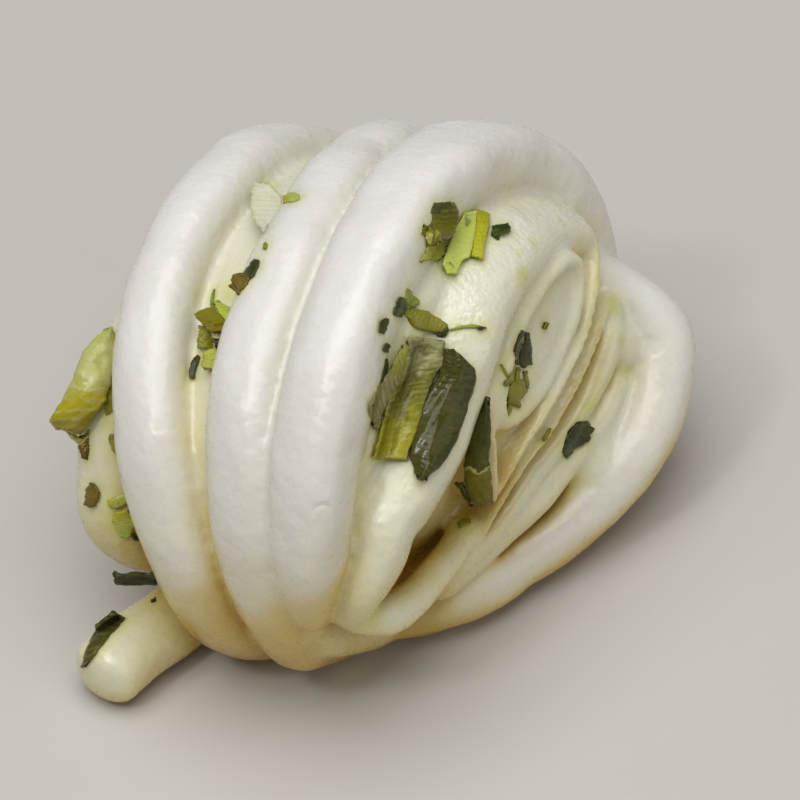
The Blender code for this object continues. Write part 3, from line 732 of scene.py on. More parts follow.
def dough_finish():
    """Steamed wheat skin: off-white, waxy and softly glossy, green in spots, with painted shade that darkens
    and yellows the folds and the bottom.
    """
    made, graph, shader = new_material("steamed wheat dough")
    place = graph.add("ShaderNodeTexCoord").outputs["Object"]
    shelter_at = graph.add("ShaderNodeAttribute", attribute_name="shelter").outputs["Fac"]
    crease_at = graph.add("ShaderNodeAttribute", attribute_name="crease").outputs["Fac"]
    inner_at = graph.add("ShaderNodeAttribute", attribute_name="inner").outputs["Fac"]
    juice_at = graph.add("ShaderNodeAttribute", attribute_name="juice").outputs["Fac"]
    clouds = graph.add("ShaderNodeTexNoise", Vector=place, Scale=110.0, Detail=3.0)
    fine = graph.add("ShaderNodeTexNoise", Vector=place, Scale=900.0, Detail=2.0)
    drift = graph.stretched(clouds.outputs["Fac"], 0.3, 0.7, -0.05, 0.05)
    # Painted shade: the colour darkens and yellows with the shelter and in the creases, mostly as shade, a
    # little as the real yellowing of the folds; the clouds drift the tone at random.
    painted_shade = graph.sum("ADD", shelter_at, drift)
    painted_shade = graph.sum("ADD", painted_shade, graph.stretched(crease_at, 0.3, 1.0, 0.0, 0.03))
    height = graph.add("ShaderNodeSeparateXYZ", Vector=place).outputs["Z"]
    # Painted shade towards the bottom of the roll, warm like bounced light.
    painted_shade_low = graph.sum("ADD", painted_shade, graph.stretched(height, 0.038, 0.020, 0.0, 0.06))
    # The darker, browner stops of both runs of colour are painted shade.
    outer = graph.ramp(painted_shade_low, (
        (0.06, (0.800, 0.785, 0.765, 1.0)), (0.22, (0.735, 0.718, 0.672, 1.0)),
        (0.40, (0.715, 0.692, 0.600, 1.0)), (0.52, (0.700, 0.650, 0.460, 1.0)),
        (0.62, (0.660, 0.530, 0.215, 1.0)), (0.74, (0.600, 0.415, 0.085, 1.0)),
        (0.88, (0.500, 0.320, 0.050, 1.0))))
    inner_colour_shaded = graph.ramp(painted_shade, (
        (0.08, (0.775, 0.765, 0.640, 1.0)), (0.26, (0.728, 0.722, 0.535, 1.0)),
        (0.42, (0.722, 0.704, 0.485, 1.0)), (0.55, (0.715, 0.675, 0.385, 1.0)),
        (0.67, (0.690, 0.600, 0.260, 1.0)), (0.80, (0.560, 0.400, 0.070, 1.0)),
        (0.92, (0.410, 0.240, 0.022, 1.0))))
    green_juice = (0.560, 0.570, 0.070, 1.0)
    colour = graph.mixed(graph.stretched(inner_at, 0.2, 0.9, 0.0, 0.75), outer, inner_colour_shaded)
    juice = graph.sum("MULTIPLY", juice_at, graph.stretched(fine.outputs["Fac"], 0.3, 0.6, 0.6, 1.0))
    colour = graph.mixed(juice, colour, green_juice)
    graph.feed(shader, "Base Color", colour)

    damp = graph.sum("MAXIMUM", inner_at, juice_at)
    wet = graph.sum("MULTIPLY", damp, graph.stretched(shelter_at, 0.36, 0.16))
    rough = graph.stretched(damp, 0.0, 1.0, 0.30, 0.29)
    rough = graph.sum("SUBTRACT", rough, graph.sum("MULTIPLY", wet, 0.10))
    rough = graph.sum("ADD", rough, graph.stretched(fine.outputs["Fac"], 0.3, 0.7, -0.05, 0.06))
    graph.feed(shader, "Roughness", rough)
    graph.feed(shader, "Coat Weight", graph.stretched(damp, 0.0, 1.0, 0.08, 0.18))
    shader.inputs["Coat Roughness"].default_value = 0.26
    shader.inputs["Subsurface Weight"].default_value = 0.25
    shader.inputs["Subsurface Radius"].default_value = (1.0, 0.75, 0.45)
    shader.inputs["Subsurface Scale"].default_value = 0.0025
    peel = graph.add("ShaderNodeTexNoise", Vector=place, Scale=560.0, Detail=1.0, Roughness=0.5)
    beads = graph.add("ShaderNodeTexNoise", Vector=place, Scale=1250.0, Detail=1.0)
    beaded = graph.sum("MULTIPLY", graph.sum("MULTIPLY", beads.outputs["Fac"], wet), 1.5)
    relief = graph.sum("ADD", peel.outputs["Fac"], beaded)
    from_dimple = graph.add("ShaderNodeVectorMath", operation="DISTANCE")
    graph.feed(from_dimple, 0, place)
    graph.feed(from_dimple, 1, dimple_at)
    off_rim = graph.sum("SUBTRACT", from_dimple.outputs["Value"], DIMPLE_RADIUS * MM)
    off_rim = graph.sum("ABSOLUTE", off_rim)
    rim = graph.stretched(off_rim, 0.0, DIMPLE_WIDTH * MM, DIMPLE_DEPTH, 0.0)
    closed_side = graph.stretched(height, dimple_at.z - 0.0008, dimple_at.z + 0.0006)
    relief = graph.sum("SUBTRACT", relief, graph.sum("MULTIPLY", rim, closed_side))
    bump = graph.add("ShaderNodeBump", Height=relief, Strength=0.40, Distance=0.00040)
    graph.feed(shader, "Normal", bump.outputs["Normal"])
    return made


dough.data.materials.clear()
dough.data.materials.append(dough_finish())
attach(dough, "root")
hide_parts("dough")

# ---- the large cuts of spring onion ----
# Spring onion cut across into short lengths, so that its fibres run across each cut piece: dark
# leaves, pale stalks and a slip of white bulb. They were laid on the dough before it was wound and
# steamed, and lie limp and wet on the folds and in the creases.


def srgb(red, green, blue):
    """A colour named by its 0 to 255 display values, as the shader wants it."""
    return tuple((v / 255.0 / 12.92) if v <= 10 else ((v / 255.0 + 0.055) / 1.055) ** 2.4
                 for v in (red, green, blue)) + (1.0,)


def limp(grid, passes):
    """Even out a table of depths as a limp leaf would."""
    for _ in range(passes):
        padded = np.pad(grid, 1, mode="edge")
        around = (padded[:-2, 1:-1] + padded[2:, 1:-1] + padded[1:-1, :-2] + padded[1:-1, 2:]) / 4.0
        grid = 0.5 * grid + 0.5 * around
    return grid


def sheet_of(name, rows, cols):
    """A flat grid sheet, and its vertices' numbers as rows from the top, left to right."""
    bpy.ops.object.select_all(action="DESELECT")
    bpy.ops.mesh.primitive_grid_add(x_subdivisions=cols, y_subdivisions=rows, size=1.0)
    made = bpy.context.object
    made.name = name
    made.data.name = name
    flat = read_points(made.data)
    order = np.lexsort((np.round(flat[:, 0], 5), -np.round(flat[:, 1], 5)))
    return made, order.reshape(rows + 1, cols + 1)


def laid(name, left, right, thick=1.0, bow=0.3, ribs=0.0, rib_height=0.0,
         ribbed=(0.0, 1.0), slope=0.0, ridge=None, ragged=0.0, curl=0.0, dents=0.0, depth=None,
         fall=0.0, lift=0.05, drape=30.0, follow=14, rows=60, cols=24, seed=1):
    """A soft slip between a left and a right edge, draped on the dough or set across a crease.

    The edges run down the piece as places on the slanting plate. With depths given, the slip lies
    that far in front of the winding centre; without them it sinks limply onto the dough. It is
    then bowed, folded along a ridge, crumpled by dents, ribbed by its fibres and curled at its
    edges, and its outline is left ragged.
    """
    piece, order = sheet_of(name, rows, cols)
    rng = np.random.default_rng(seed)
    t = np.linspace(0.0, 1.0, rows + 1)
    a = np.linspace(0.0, 1.0, cols + 1)
    stations = np.linspace(0.0, 1.0, len(left))
    rails = [np.stack([eased(t, stations, np.array(edge)[:, k]) for k in range(2)], 1)
             for edge in (left, right)]
    for rail in rails:
        phase = rng.uniform(0.0, 6.28, 4)
        for k, wave in enumerate((3.1, 7.3, 13.7, 23.1)):
            rail[:, 0] += ragged * np.sin(wave * 6.28 * t / 2.0 + phase[k]) / (1.0 + 0.6 * k)
    spread = rails[0][:, None] * (1.0 - a)[None, :, None] + rails[1][:, None] * a[None, :, None]
    along = (rails[0][-1] + rails[1][-1] - rails[0][0] - rails[1][0]) / 2.0
    along /= max(np.linalg.norm(along), 1e-6)
    for at in (1.0 - t, t):
        phase = rng.uniform(0.0, 6.28, 3)
        wobble = sum(np.sin(w * 6.28 * a / 2.0 + phase[k]) / (1.0 + 0.7 * k)
                     for k, w in enumerate((2.3, 5.9, 11.3)))
        near_end = np.clip((at - 0.75) / 0.25, 0.0, 1.0) ** 2
        spread += (near_end[:, None] * wobble[None, :] * 0.6 * ragged)[:, :, None] * along
    if depth is None:
        ground = np.array([[dough_depth(*place) for place in row] for row in spread])
        level = np.nanmedian(ground)
        ground = np.clip(np.where(np.isnan(ground), level, ground), level - drape, level + drape)
        lying = limp(ground, follow)
        lying = limp(np.maximum(lying, ground), 2) + lift
    else:
        lying = eased(t, np.linspace(0.0, 1.0, len(depth)), depth)[:, None] - fall * a[None, :]
    middle = 1.0 - (2.0 * a - 1.0) ** 2
    if ridge:
        peak, height = ridge
        lying = lying + height * np.minimum(a / peak, (1.0 - a) / (1.0 - peak))[None, :]
    for k, (down_phase, over_phase) in enumerate(rng.uniform(0.0, 6.28, (9, 2))):
        crumple = (np.sin((3.0 + 3.1 * k) * t + down_phase)[:, None]
                   * np.sin((2.0 + 1.9 * k) * a + over_phase)[None, :])
        lying = lying + dents / (1.0 + 0.45 * k) * crumple
    lying = lying + bow * middle[None, :] + curl * (np.abs(2.0 * a - 1.0) ** 3)[None, :]
    envelope = np.clip((t - ribbed[0]) / 0.08, 0.0, 1.0) * np.clip((ribbed[1] - t) / 0.08, 0.0, 1.0)
    sway = 0.35 * np.sin(2.2 * a + seed) + 0.12 * np.sin(9.0 * a + 2.0 * seed)
    wave = np.sin(2 * np.pi * (ribs * t[:, None] + slope * ribs * a[None, :] + sway[None, :])
                  + 0.9 * np.sin(5.1 * t[:, None] + 2.0 * a[None, :] + seed)
                  + 1.5 * np.sin(14.3 * t[:, None] + 4.0 * a[None, :] + 2.0 * seed))
    wave = wave * (0.6 + 0.4 * np.sin(23.0 * t[:, None] - 6.0 * a[None, :] + seed))
    lying = lying + rib_height * envelope[:, None] * wave
    edge_in = np.minimum(np.minimum(t, 1.0 - t)[:, None] * rows, np.minimum(a, 1.0 - a)[None, :] * cols)
    lying = lying + thick - 0.35 * thick * np.clip(1.0 - edge_in / 1.5, 0.0, 1.0) ** 2
    placed_points = read_points(piece.data)
    for i in range(rows + 1):
        for j in range(cols + 1):
            placed_points[order[i, j]] = plate_point(*spread[i, j], lying[i, j])
    write_points(piece.data, placed_points)
    solid = piece.modifiers.new("thickness", "SOLIDIFY")
    solid.thickness = thick * MM
    solid.offset = -1.0
    bpy.ops.object.modifier_apply(modifier="thickness")
    bpy.ops.object.shade_smooth()
    piece.location = (0.0, 0.0, 0.0)
    return piece


def fibre_group():
    """Shared by every cut of onion: fibres across it, flecks, blots and the relief of its wet skin."""
    tree = bpy.data.node_groups.new("onion fibres", "ShaderNodeTree")
    for name, kind in (("Place", "NodeSocketVector"), ("Spread", "NodeSocketVector"),
                       ("Colour", "NodeSocketColor"), ("Fibre Colour", "NodeSocketColor"),
                       ("Fibre Count", "NodeSocketFloat"), ("Fibre Slope", "NodeSocketFloat"),
                       ("Fibre Share", "NodeSocketFloat"), ("Fleck Share", "NodeSocketFloat"),
                       ("Roughness", "NodeSocketFloat")):
        tree.interface.new_socket(name, in_out="INPUT", socket_type=kind)
    for name, kind in (("Colour", "NodeSocketColor"), ("Roughness", "NodeSocketFloat"),
                       ("Relief", "NodeSocketFloat")):
        tree.interface.new_socket(name, in_out="OUTPUT", socket_type=kind)
    graph = Graph(tree)
    given = tree.nodes.new("NodeGroupInput").outputs
    spread = graph.add("ShaderNodeSeparateXYZ", Vector=given["Spread"])
    specks = graph.add("ShaderNodeTexNoise", Vector=given["Place"], Scale=1500.0, Detail=2.0)
    blots = graph.add("ShaderNodeTexNoise", Vector=given["Place"], Scale=520.0, Detail=3.0)
    across = graph.sum("ADD", spread.outputs["Y"],
                       graph.sum("MULTIPLY", spread.outputs["X"], given["Fibre Slope"]))
    turns = graph.sum("MULTIPLY", graph.sum("MULTIPLY", across, given["Fibre Count"]), 2.0 * math.pi)
    turns = graph.sum("ADD", turns, graph.sum("MULTIPLY", blots.outputs["Fac"], 9.0))
    fibre = graph.stretched(graph.sum("SINE", turns), -0.4, 1.0)
    patch = graph.stretched(blots.outputs["Fac"], 0.35, 0.62)
    share = graph.sum("MULTIPLY", graph.sum("MULTIPLY", fibre, patch), given["Fibre Share"])
    colour = graph.mixed(share, given["Colour"], given["Fibre Colour"])
    flecks = graph.sum("MULTIPLY", graph.stretched(specks.outputs["Fac"], 0.60, 0.72),
                       given["Fleck Share"])
    colour = graph.mixed(flecks, colour, (0.030, 0.030, 0.004, 1.0))
    rough = graph.sum("ADD", given["Roughness"], graph.stretched(blots.outputs["Fac"], 0.3, 0.7, -0.07, 0.12))
    relief = graph.sum("ADD", graph.sum("MULTIPLY", fibre, 0.5),
                       graph.sum("MULTIPLY", specks.outputs["Fac"], 0.7))
    told = tree.nodes.new("NodeGroupOutput")
    tree.links.new(colour, told.inputs["Colour"])
    tree.links.new(rough, told.inputs["Roughness"])
    tree.links.new(relief, told.inputs["Relief"])
    return tree


fibres = fibre_group()


def onion_finish(name, stops, side_stops=None, side_share=0.0, ribs=14.0, slope=0.0, rib_tint=0.0,
                 rib_colour=(0.5, 0.5, 0.5, 1.0), flecks=0.3, rough=0.26, wet=0.22, shine=0.2, milky=0.0):
    """Wet spring onion: colours run down the piece, with fibres across it and a clear wet film."""
    made, graph, shader = new_material(name)
    spread = graph.add("ShaderNodeUVMap").outputs["UV"]
    place = graph.add("ShaderNodeTexCoord").outputs["Object"]
    parts_of = graph.add("ShaderNodeSeparateXYZ", Vector=spread)
    drifts = graph.add("ShaderNodeTexNoise", Vector=place, Scale=480.0, Detail=2.0)
    drift = graph.stretched(drifts.outputs["Fac"], 0.3, 0.7, -0.07, 0.07)
    down = graph.sum("ADD", graph.sum("SUBTRACT", 1.0, parts_of.outputs["Y"]), drift)
    colour = graph.ramp(down, stops)
    if side_stops:
        over = graph.sum("ADD", parts_of.outputs["X"], drift)
        colour = graph.mixed(side_share, colour, graph.ramp(over, side_stops))
    film = graph.tree.nodes.new("ShaderNodeGroup")
    film.node_tree = fibres
    for socket, value in (("Place", place), ("Spread", spread), ("Colour", colour),
                          ("Fibre Colour", rib_colour), ("Fibre Count", ribs),
                          ("Fibre Slope", -slope), ("Fibre Share", rib_tint),
                          ("Fleck Share", flecks), ("Roughness", rough)):
        graph.feed(film, socket, value)
    graph.feed(shader, "Base Color", film.outputs["Colour"])
    graph.feed(shader, "Roughness", film.outputs["Roughness"])
    shader.inputs["Specular IOR Level"].default_value = shine
    shader.inputs["Coat Weight"].default_value = wet
    shader.inputs["Coat Roughness"].default_value = 0.12
    shader.inputs["Subsurface Weight"].default_value = milky
    shader.inputs["Subsurface Radius"].default_value = (1.0, 1.0, 0.4)
    shader.inputs["Subsurface Scale"].default_value = 0.0015
    bump = graph.add("ShaderNodeBump", Height=film.outputs["Relief"], Strength=0.5, Distance=0.00018)
    graph.feed(shader, "Normal", bump.outputs["Normal"])
    return made


def placed_cut(piece, finish, node=None):
    """Give a cut piece its finish and let it stand for its solid, if it has one."""
    piece.data.materials.clear()
    piece.data.materials.append(finish)
    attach(piece, "root")
    if node:
        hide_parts(node)
    onion_pieces.append(piece)


onion_pieces = []
DARK = srgb(64, 66, 12)
DEEP = srgb(48, 52, 8)
BRIGHT = srgb(170, 184, 66)
YELLOWISH = srgb(172, 166, 12)

leaf = laid(
    "onion_leaf",
    left=((8.1, 6.9), (8.2, 3.7), (7.0, 1.1), (5.3, -3.1), (4.1, -7.2), (4.5, -9.8), (5.3, -11.4)),
    right=((10.2, 6.7), (11.8, 5.3), (13.5, 2.9), (12.3, -1.1), (11.0, -5.0), (8.6, -9.2), (6.1, -11.5)),
    thick=1.1, bow=0.4, ridge=(0.45, 0.6), ribs=19.0, rib_height=0.035, ribbed=(0.05, 0.95),
    slope=-0.14, ragged=0.09, curl=0.08, dents=0.16, rows=150, cols=34, seed=3)
# Painted sheen: the lighter left half of the leaf and its light rib stripes stand in for the glints on its
# wet ribs.
placed_cut(leaf, onion_finish(
    "dark leaf", ((0.0, DARK), (0.3, srgb(64, 64, 20)), (0.6, DARK), (1.0, DEEP)),
    side_stops=((0.0, srgb(84, 82, 46)), (0.35, srgb(72, 72, 30)), (0.5, DARK), (1.0, DEEP)),
    side_share=0.5, ribs=21.0, slope=-0.14, rib_tint=0.22, rib_colour=srgb(112, 108, 50), rough=0.22,
    wet=0.32, shine=0.14), "scallion_leaf")

stalk = laid(
    "onion_stalk",
    left=((4.0, 8.5), (3.6, 5.3), (2.8, 2.1), (1.0, -1.1), (-0.0, -4.7), (-1.2, -8.5)),
    right=((9.0, 7.9), (9.0, 5.3), (7.6, 2.5), (6.5, -0.3), (5.0, -4.7), (3.8, -8.5)),
    thick=1.2, bow=0.4, ridge=(0.55, 0.5), ribs=17.0, rib_height=0.05, ribbed=(0.0, 0.42), slope=0.05,
    ragged=0.09, curl=0.10, dents=0.14, rows=120, cols=30, seed=5)
placed_cut(stalk, onion_finish(
    "pale stalk", ((0.0, srgb(166, 162, 126)), (0.10, srgb(84, 84, 50)), (0.16, srgb(158, 156, 122)),
                   (0.30, srgb(136, 134, 82)), (0.38, srgb(98, 96, 22)), (0.6, srgb(104, 100, 14)),
                   (0.74, srgb(150, 146, 16)), (0.8, YELLOWISH), (1.0, YELLOWISH)),
    side_stops=((0.0, srgb(120, 118, 20)), (0.45, srgb(108, 106, 18)), (0.7, srgb(156, 158, 60)),
                (1.0, srgb(100, 98, 22))),
    side_share=0.35, ribs=17.0, slope=0.05, rib_tint=0.28, rib_colour=srgb(170, 168, 116),
    flecks=0.4, rough=0.22, wet=0.3, milky=0.15), "scallion_stalk")

stalk_side = laid(
    "onion_stalk_side",
    left=((3.6, 7.5), (2.0, 5.2), (0.4, 2.5), (-1.2, -1.1), (-1.0, -4.2)),
    right=((4.2, 6.9), (4.1, 3.7), (2.8, 1.7), (0.8, -1.5), (-0.0, -4.5)),
    thick=0.9, bow=0.3, ribs=14.0, rib_height=0.10, slope=-0.2, ragged=0.12, rows=70, cols=18, seed=7)
placed_cut(stalk_side, onion_finish(
    "stalk flank", ((0.0, srgb(150, 152, 40)), (0.35, srgb(130, 130, 34)), (0.55, srgb(126, 122, 70)),
                    (1.0, srgb(110, 106, 44))),
    ribs=14.0, slope=-0.2, rib_tint=0.5, rib_colour=srgb(170, 168, 132), flecks=0.4, rough=0.24,
    wet=0.3))

block = laid(
    "onion_block",
    left=((11.8, 25.8), (10.5, 23.5), (9.4, 21.0), (8.7, 18.8), (9.4, 17.1)),
    right=((13.7, 26.3), (13.3, 23.2), (12.7, 19.9), (11.4, 18.9), (10.7, 17.2)),
    thick=1.3, bow=0.4, ragged=0.05, curl=0.05, dents=0.08, ribs=8.0, rib_height=0.03,
    rows=50, cols=22, seed=8)
placed_cut(block, onion_finish(
    "bright stalk", ((0.0, srgb(196, 208, 98)), (0.5, srgb(200, 212, 108)), (1.0, srgb(190, 204, 84))),
    ribs=16.0, rib_tint=0.25, rib_colour=srgb(206, 212, 150), flecks=0.1, rough=0.24,
    milky=0.35), "scallion_block")

block_side = laid(
    "onion_block_side",
    left=((13.5, 26.5), (13.2, 23.2), (12.6, 19.7)),
    right=((15.5, 25.9), (15.1, 23.2), (14.3, 19.2)),
    thick=1.3, bow=0.3, ragged=0.04, dents=0.06, rows=44, cols=18, seed=9)
placed_cut(block_side, onion_finish(
    "bright stalk flank", ((0.0, srgb(150, 152, 24)), (0.5, srgb(172, 172, 26)), (1.0, srgb(176, 178, 44))),
    ribs=12.0, rib_tint=0.2, rib_colour=srgb(190, 190, 80), flecks=0.15, rough=0.26,
    milky=0.25))

crisp = laid(
    "onion_crisp",
    left=((15.6, 24.1), (15.7, 23.2), (15.8, 22.4)), right=((18.0, 24.6), (18.3, 23.9), (18.3, 23.3)),
    thick=1.0, bow=0.2, ragged=0.05, rows=16, cols=22, seed=10)
placed_cut(crisp, onion_finish(
    "crisp leaf", ((0.0, srgb(46, 66, 10)), (0.5, srgb(40, 56, 6)), (1.0, srgb(84, 92, 20))),
    ribs=6.0, rough=0.3))

curl = laid(
    "onion_curl",
    left=((7.4, 27.1), (6.6, 25.3), (5.3, 23.5), (5.5, 22.6), (6.9, 22.2)),
    right=((10.2, 27.4), (11.1, 25.4), (10.8, 23.8), (9.6, 22.1), (8.2, 21.6)),
    thick=1.4, bow=0.6, ragged=0.10, curl=0.35, dents=0.20, depth=(28.0, 29.5, 31.0, 31.6, 30.5),
    fall=4.5, ribs=7.0, rib_height=0.07, slope=0.2, rows=44, cols=30, seed=11)
placed_cut(curl, onion_finish(
    "glossy leaf curl", ((0.0, srgb(60, 62, 12)), (0.4, srgb(92, 90, 14)), (0.8, srgb(112, 108, 24)),
                         (1.0, srgb(150, 146, 50))),
    ribs=9.0, rib_tint=0.25, rib_colour=srgb(150, 148, 60), rough=0.2, wet=0.5),
    "scallion_curl")

tuck = laid(
    "onion_tuck",
    left=((6.9, 21.7), (6.4, 20.3), (5.6, 18.8)), right=((9.4, 21.4), (9.1, 20.1), (8.3, 19.0)),
    thick=0.7, bow=0.2, ragged=0.10, rows=24, cols=20, seed=12)
placed_cut(tuck, onion_finish(
    "tucked slip", ((0.0, srgb(140, 142, 34)), (1.0, srgb(166, 166, 66))),
    ribs=8.0, rib_tint=0.2, rib_colour=srgb(190, 190, 110), milky=0.3))

sliver = laid(
    "onion_sliver",
    left=((14.6, 0.3), (12.9, -4.4), (11.9, -8.5), (11.8, -11.8), (12.6, -14.9)),
    right=((14.9, -0.2), (15.5, -4.0), (15.4, -8.9), (15.6, -11.8), (15.9, -15.0)),
    thick=0.9, bow=0.6, ragged=0.10, dents=0.1, depth=(24.0, 23.2, 21.6, 20.8, 20.2),
    ribs=4.0, rib_height=0.08, rows=60, cols=22, seed=13)
placed_cut(sliver, onion_finish(
    "valley leaf", ((0.0, srgb(36, 38, 12)), (0.5, DARK), (0.56, srgb(60, 56, 14)),
                    (0.59, srgb(170, 164, 96)), (0.63, srgb(92, 86, 14)), (1.0, srgb(84, 78, 16))),
    ribs=3.0, slope=4.0, rib_tint=0.3, rib_colour=srgb(134, 128, 44), rough=0.22),
    "scallion_sliver")

sliver_curl = laid(
    "onion_sliver_curl",
    left=((10.4, -12.0), (11.6, -13.9), (12.4, -14.9)), right=((11.8, -11.8), (12.8, -13.5), (13.1, -15.1)),
    thick=0.6, bow=0.3, ragged=0.08, depth=(18.5, 18.8, 19.4), rows=24, cols=14, seed=14)
placed_cut(sliver_curl, onion_finish(
    "valley leaf tip", ((0.0, srgb(96, 92, 16)), (1.0, srgb(70, 66, 14))), rough=0.24))

bulb = laid(
    "onion_bulb",
    left=((-18.0, 30.7), (-18.5, 28.1), (-17.7, 25.1), (-16.2, 22.7)),
    right=((-15.8, 30.5), (-13.7, 27.7), (-14.2, 24.9), (-15.3, 22.9)),
    thick=1.0, bow=0.6, ragged=0.10, dents=0.12, depth=(8.5, 12.0, 17.0, 22.5), fall=-1.5,
    rows=40, cols=24, seed=17)
placed_cut(bulb, onion_finish(
    "white bulb", ((0.0, srgb(170, 184, 104)), (0.12, srgb(208, 210, 176)), (0.5, srgb(218, 216, 192)),
                   (1.0, srgb(214, 210, 184))),
    side_stops=((0.0, srgb(176, 190, 110)), (0.15, srgb(210, 212, 184)), (0.6, srgb(222, 220, 204)),
                (1.0, srgb(206, 204, 178))),
    side_share=0.5, ribs=12.0, rib_tint=0.15, rib_colour=srgb(232, 230, 214), flecks=0.0, rough=0.22,
    milky=0.6), "scallion_bulb")

chip = laid(
    "onion_chip",
    left=((-26.1, 11.8), (-24.8, 10.2), (-23.3, 9.0)), right=((-23.2, 12.9), (-22.1, 11.4), (-20.7, 9.4)),
    thick=1.2, bow=0.3, ragged=0.08, depth=(22.0, 24.0, 26.5), fall=-1.5, rows=40, cols=28, seed=19)
placed_cut(chip, onion_finish(
    "olive chip", ((0.0, srgb(126, 120, 14)), (0.7, srgb(122, 114, 12)), (1.0, srgb(104, 92, 12))),
    side_stops=((0.0, srgb(120, 112, 10)), (0.6, srgb(130, 122, 22)), (1.0, srgb(96, 88, 10))),
    side_share=0.4, ribs=10.0, rib_tint=0.2, rib_colour=srgb(158, 152, 50), rough=0.28),
    "scallion_chip")

# The bits that lie with the chip in the same cleft, and the thin parts of the cuts at the far
# left and at the end of the tail. Each row: name, left edge, right edge, depths in front of the
# winding centre or nothing when the bit is draped, thickness, colours down it, slot.
WITH_THE_CUTS = (
    ("onion_chip_back", ((-23.4, 13.5), (-22.5, 11.8), (-21.1, 10.1)),
     ((-22.1, 13.3), (-20.3, 11.9), (-20.4, 10.1)),
     (22.0, 24.0, 26.0), 0.9, (BRIGHT, srgb(178, 190, 70)), "scallion_green"),
    ("onion_chip_left", ((-25.3, 10.2), (-25.6, 6.8)), ((-23.5, 9.8), (-23.2, 6.9)),
     (22.4, 23.2), 0.8, (srgb(150, 146, 26), srgb(132, 124, 18)), "scallion_green"),
    ("onion_chip_fold", ((-23.5, 9.0), (-23.3, 8.2)), ((-20.9, 9.3), (-21.0, 8.2)),
     (26.0, 26.5), 0.8, (srgb(196, 196, 140), srgb(178, 174, 110)), "scallion_pale"),
    ("onion_chip_end", ((-23.3, 8.2), (-22.9, 7.1)), ((-21.0, 8.3), (-21.2, 7.3)),
     (26.0, 26.0), 0.8, (srgb(88, 62, 12), srgb(70, 46, 10)), "scallion_dark"),
    ("onion_chip_low", ((-24.6, 6.3), (-24.9, 4.2)), ((-21.5, 7.7), (-21.8, 3.8)),
     (25.0, 26.2), 0.8, (srgb(176, 180, 62), srgb(168, 168, 44)), "scallion_green"),
    ("onion_tail_leaf", ((-38.3, -30.3), (-40.4, -32.7), (-42.0, -35.9), (-42.9, -38.6)),
     ((-36.5, -31.5), (-37.8, -33.0), (-39.5, -35.0), (-41.9, -38.0)),
     None, 0.6, (srgb(50, 52, 20), srgb(84, 80, 24)), "scallion_dark"),
    ("onion_far_leaf", ((-37.7, -24.8), (-37.4, -26.5)), ((-31.2, -24.9), (-31.6, -26.5)),
     (15.5, 14.5), 0.7, (srgb(50, 48, 14), srgb(34, 32, 10)), "scallion_dark"),
    ("onion_side_strip", ((-38.6, 3.8), (-39.1, -0.3), (-38.9, -4.4), (-38.1, -8.1)),
     ((-37.1, 3.7), (-37.1, -0.3), (-36.9, -4.4), (-37.5, -8.5)),
     (12.0, 12.0, 10.5, 9.5), 0.7, (srgb(140, 138, 34), srgb(112, 106, 18)), "scallion_green"),
    ("onion_side_rim", ((-44.9, -4.6), (-43.4, -6.3), (-42.4, -6.9)),
     ((-44.2, -4.3), (-42.4, -5.8), (-41.0, -4.9)),
     (9.0, 9.5, 9.5), 0.6, (srgb(190, 184, 110), srgb(172, 160, 70)), "scallion_pale"),
    ("onion_side_drop", ((-42.7, -5.4), (-42.9, -6.9), (-42.4, -8.6)),
     ((-41.3, -5.3), (-41.2, -6.9), (-41.7, -8.6)),
     (9.0, 9.0, 9.0), 0.8, (srgb(112, 92, 14), srgb(96, 76, 12)), "scallion_dark"),
)
for number, (name, left, right, depth, thick, (upper, lower), slot) in enumerate(WITH_THE_CUTS):
    placed_cut(
        laid(name, left, right, thick=thick, bow=0.25, ragged=0.08, dents=0.08, depth=depth,
             rows=30, cols=18, seed=41 + number),
        onion_finish(name.replace("_", " "), ((0.0, upper), (1.0, lower)), ribs=8.0, rib_tint=0.15,
                     rib_colour=srgb(176, 172, 90), milky=0.1))

side = laid(
    "onion_side",
    left=((-39.0, 9.6), (-41.7, 7.1), (-43.4, 3.4), (-44.9, -0.3), (-46.7, -3.0), (-46.2, -4.5)),
    right=((-37.9, 10.1), (-37.2, 6.2), (-38.0, 2.5), (-38.6, -0.3), (-40.1, -2.4), (-42.6, -5.3)),
    thick=1.5, bow=1.0, ragged=0.12, curl=0.15, dents=0.15, depth=(9.0, 11.0, 12.0, 12.0, 11.5, 10.0),
    ribs=6.0, rib_height=0.07, ribbed=(0.0, 0.5), rows=70, cols=30, seed=23)
placed_cut(side, onion_finish(
    "side stalk", ((0.0, srgb(168, 176, 84)), (0.2, srgb(184, 188, 118)), (0.5, srgb(178, 178, 96)),
                   (0.58, srgb(168, 158, 14)), (0.8, srgb(160, 148, 6)), (1.0, srgb(140, 122, 4))),
    side_stops=((0.0, srgb(150, 154, 36)), (0.3, srgb(172, 172, 60)), (0.7, srgb(184, 182, 100)),
                (1.0, srgb(150, 146, 40))),
    side_share=0.15, ribs=9.0, rib_tint=0.25, rib_colour=srgb(212, 212, 170), flecks=0.15, rough=0.22,
    milky=0.3), "scallion_side")

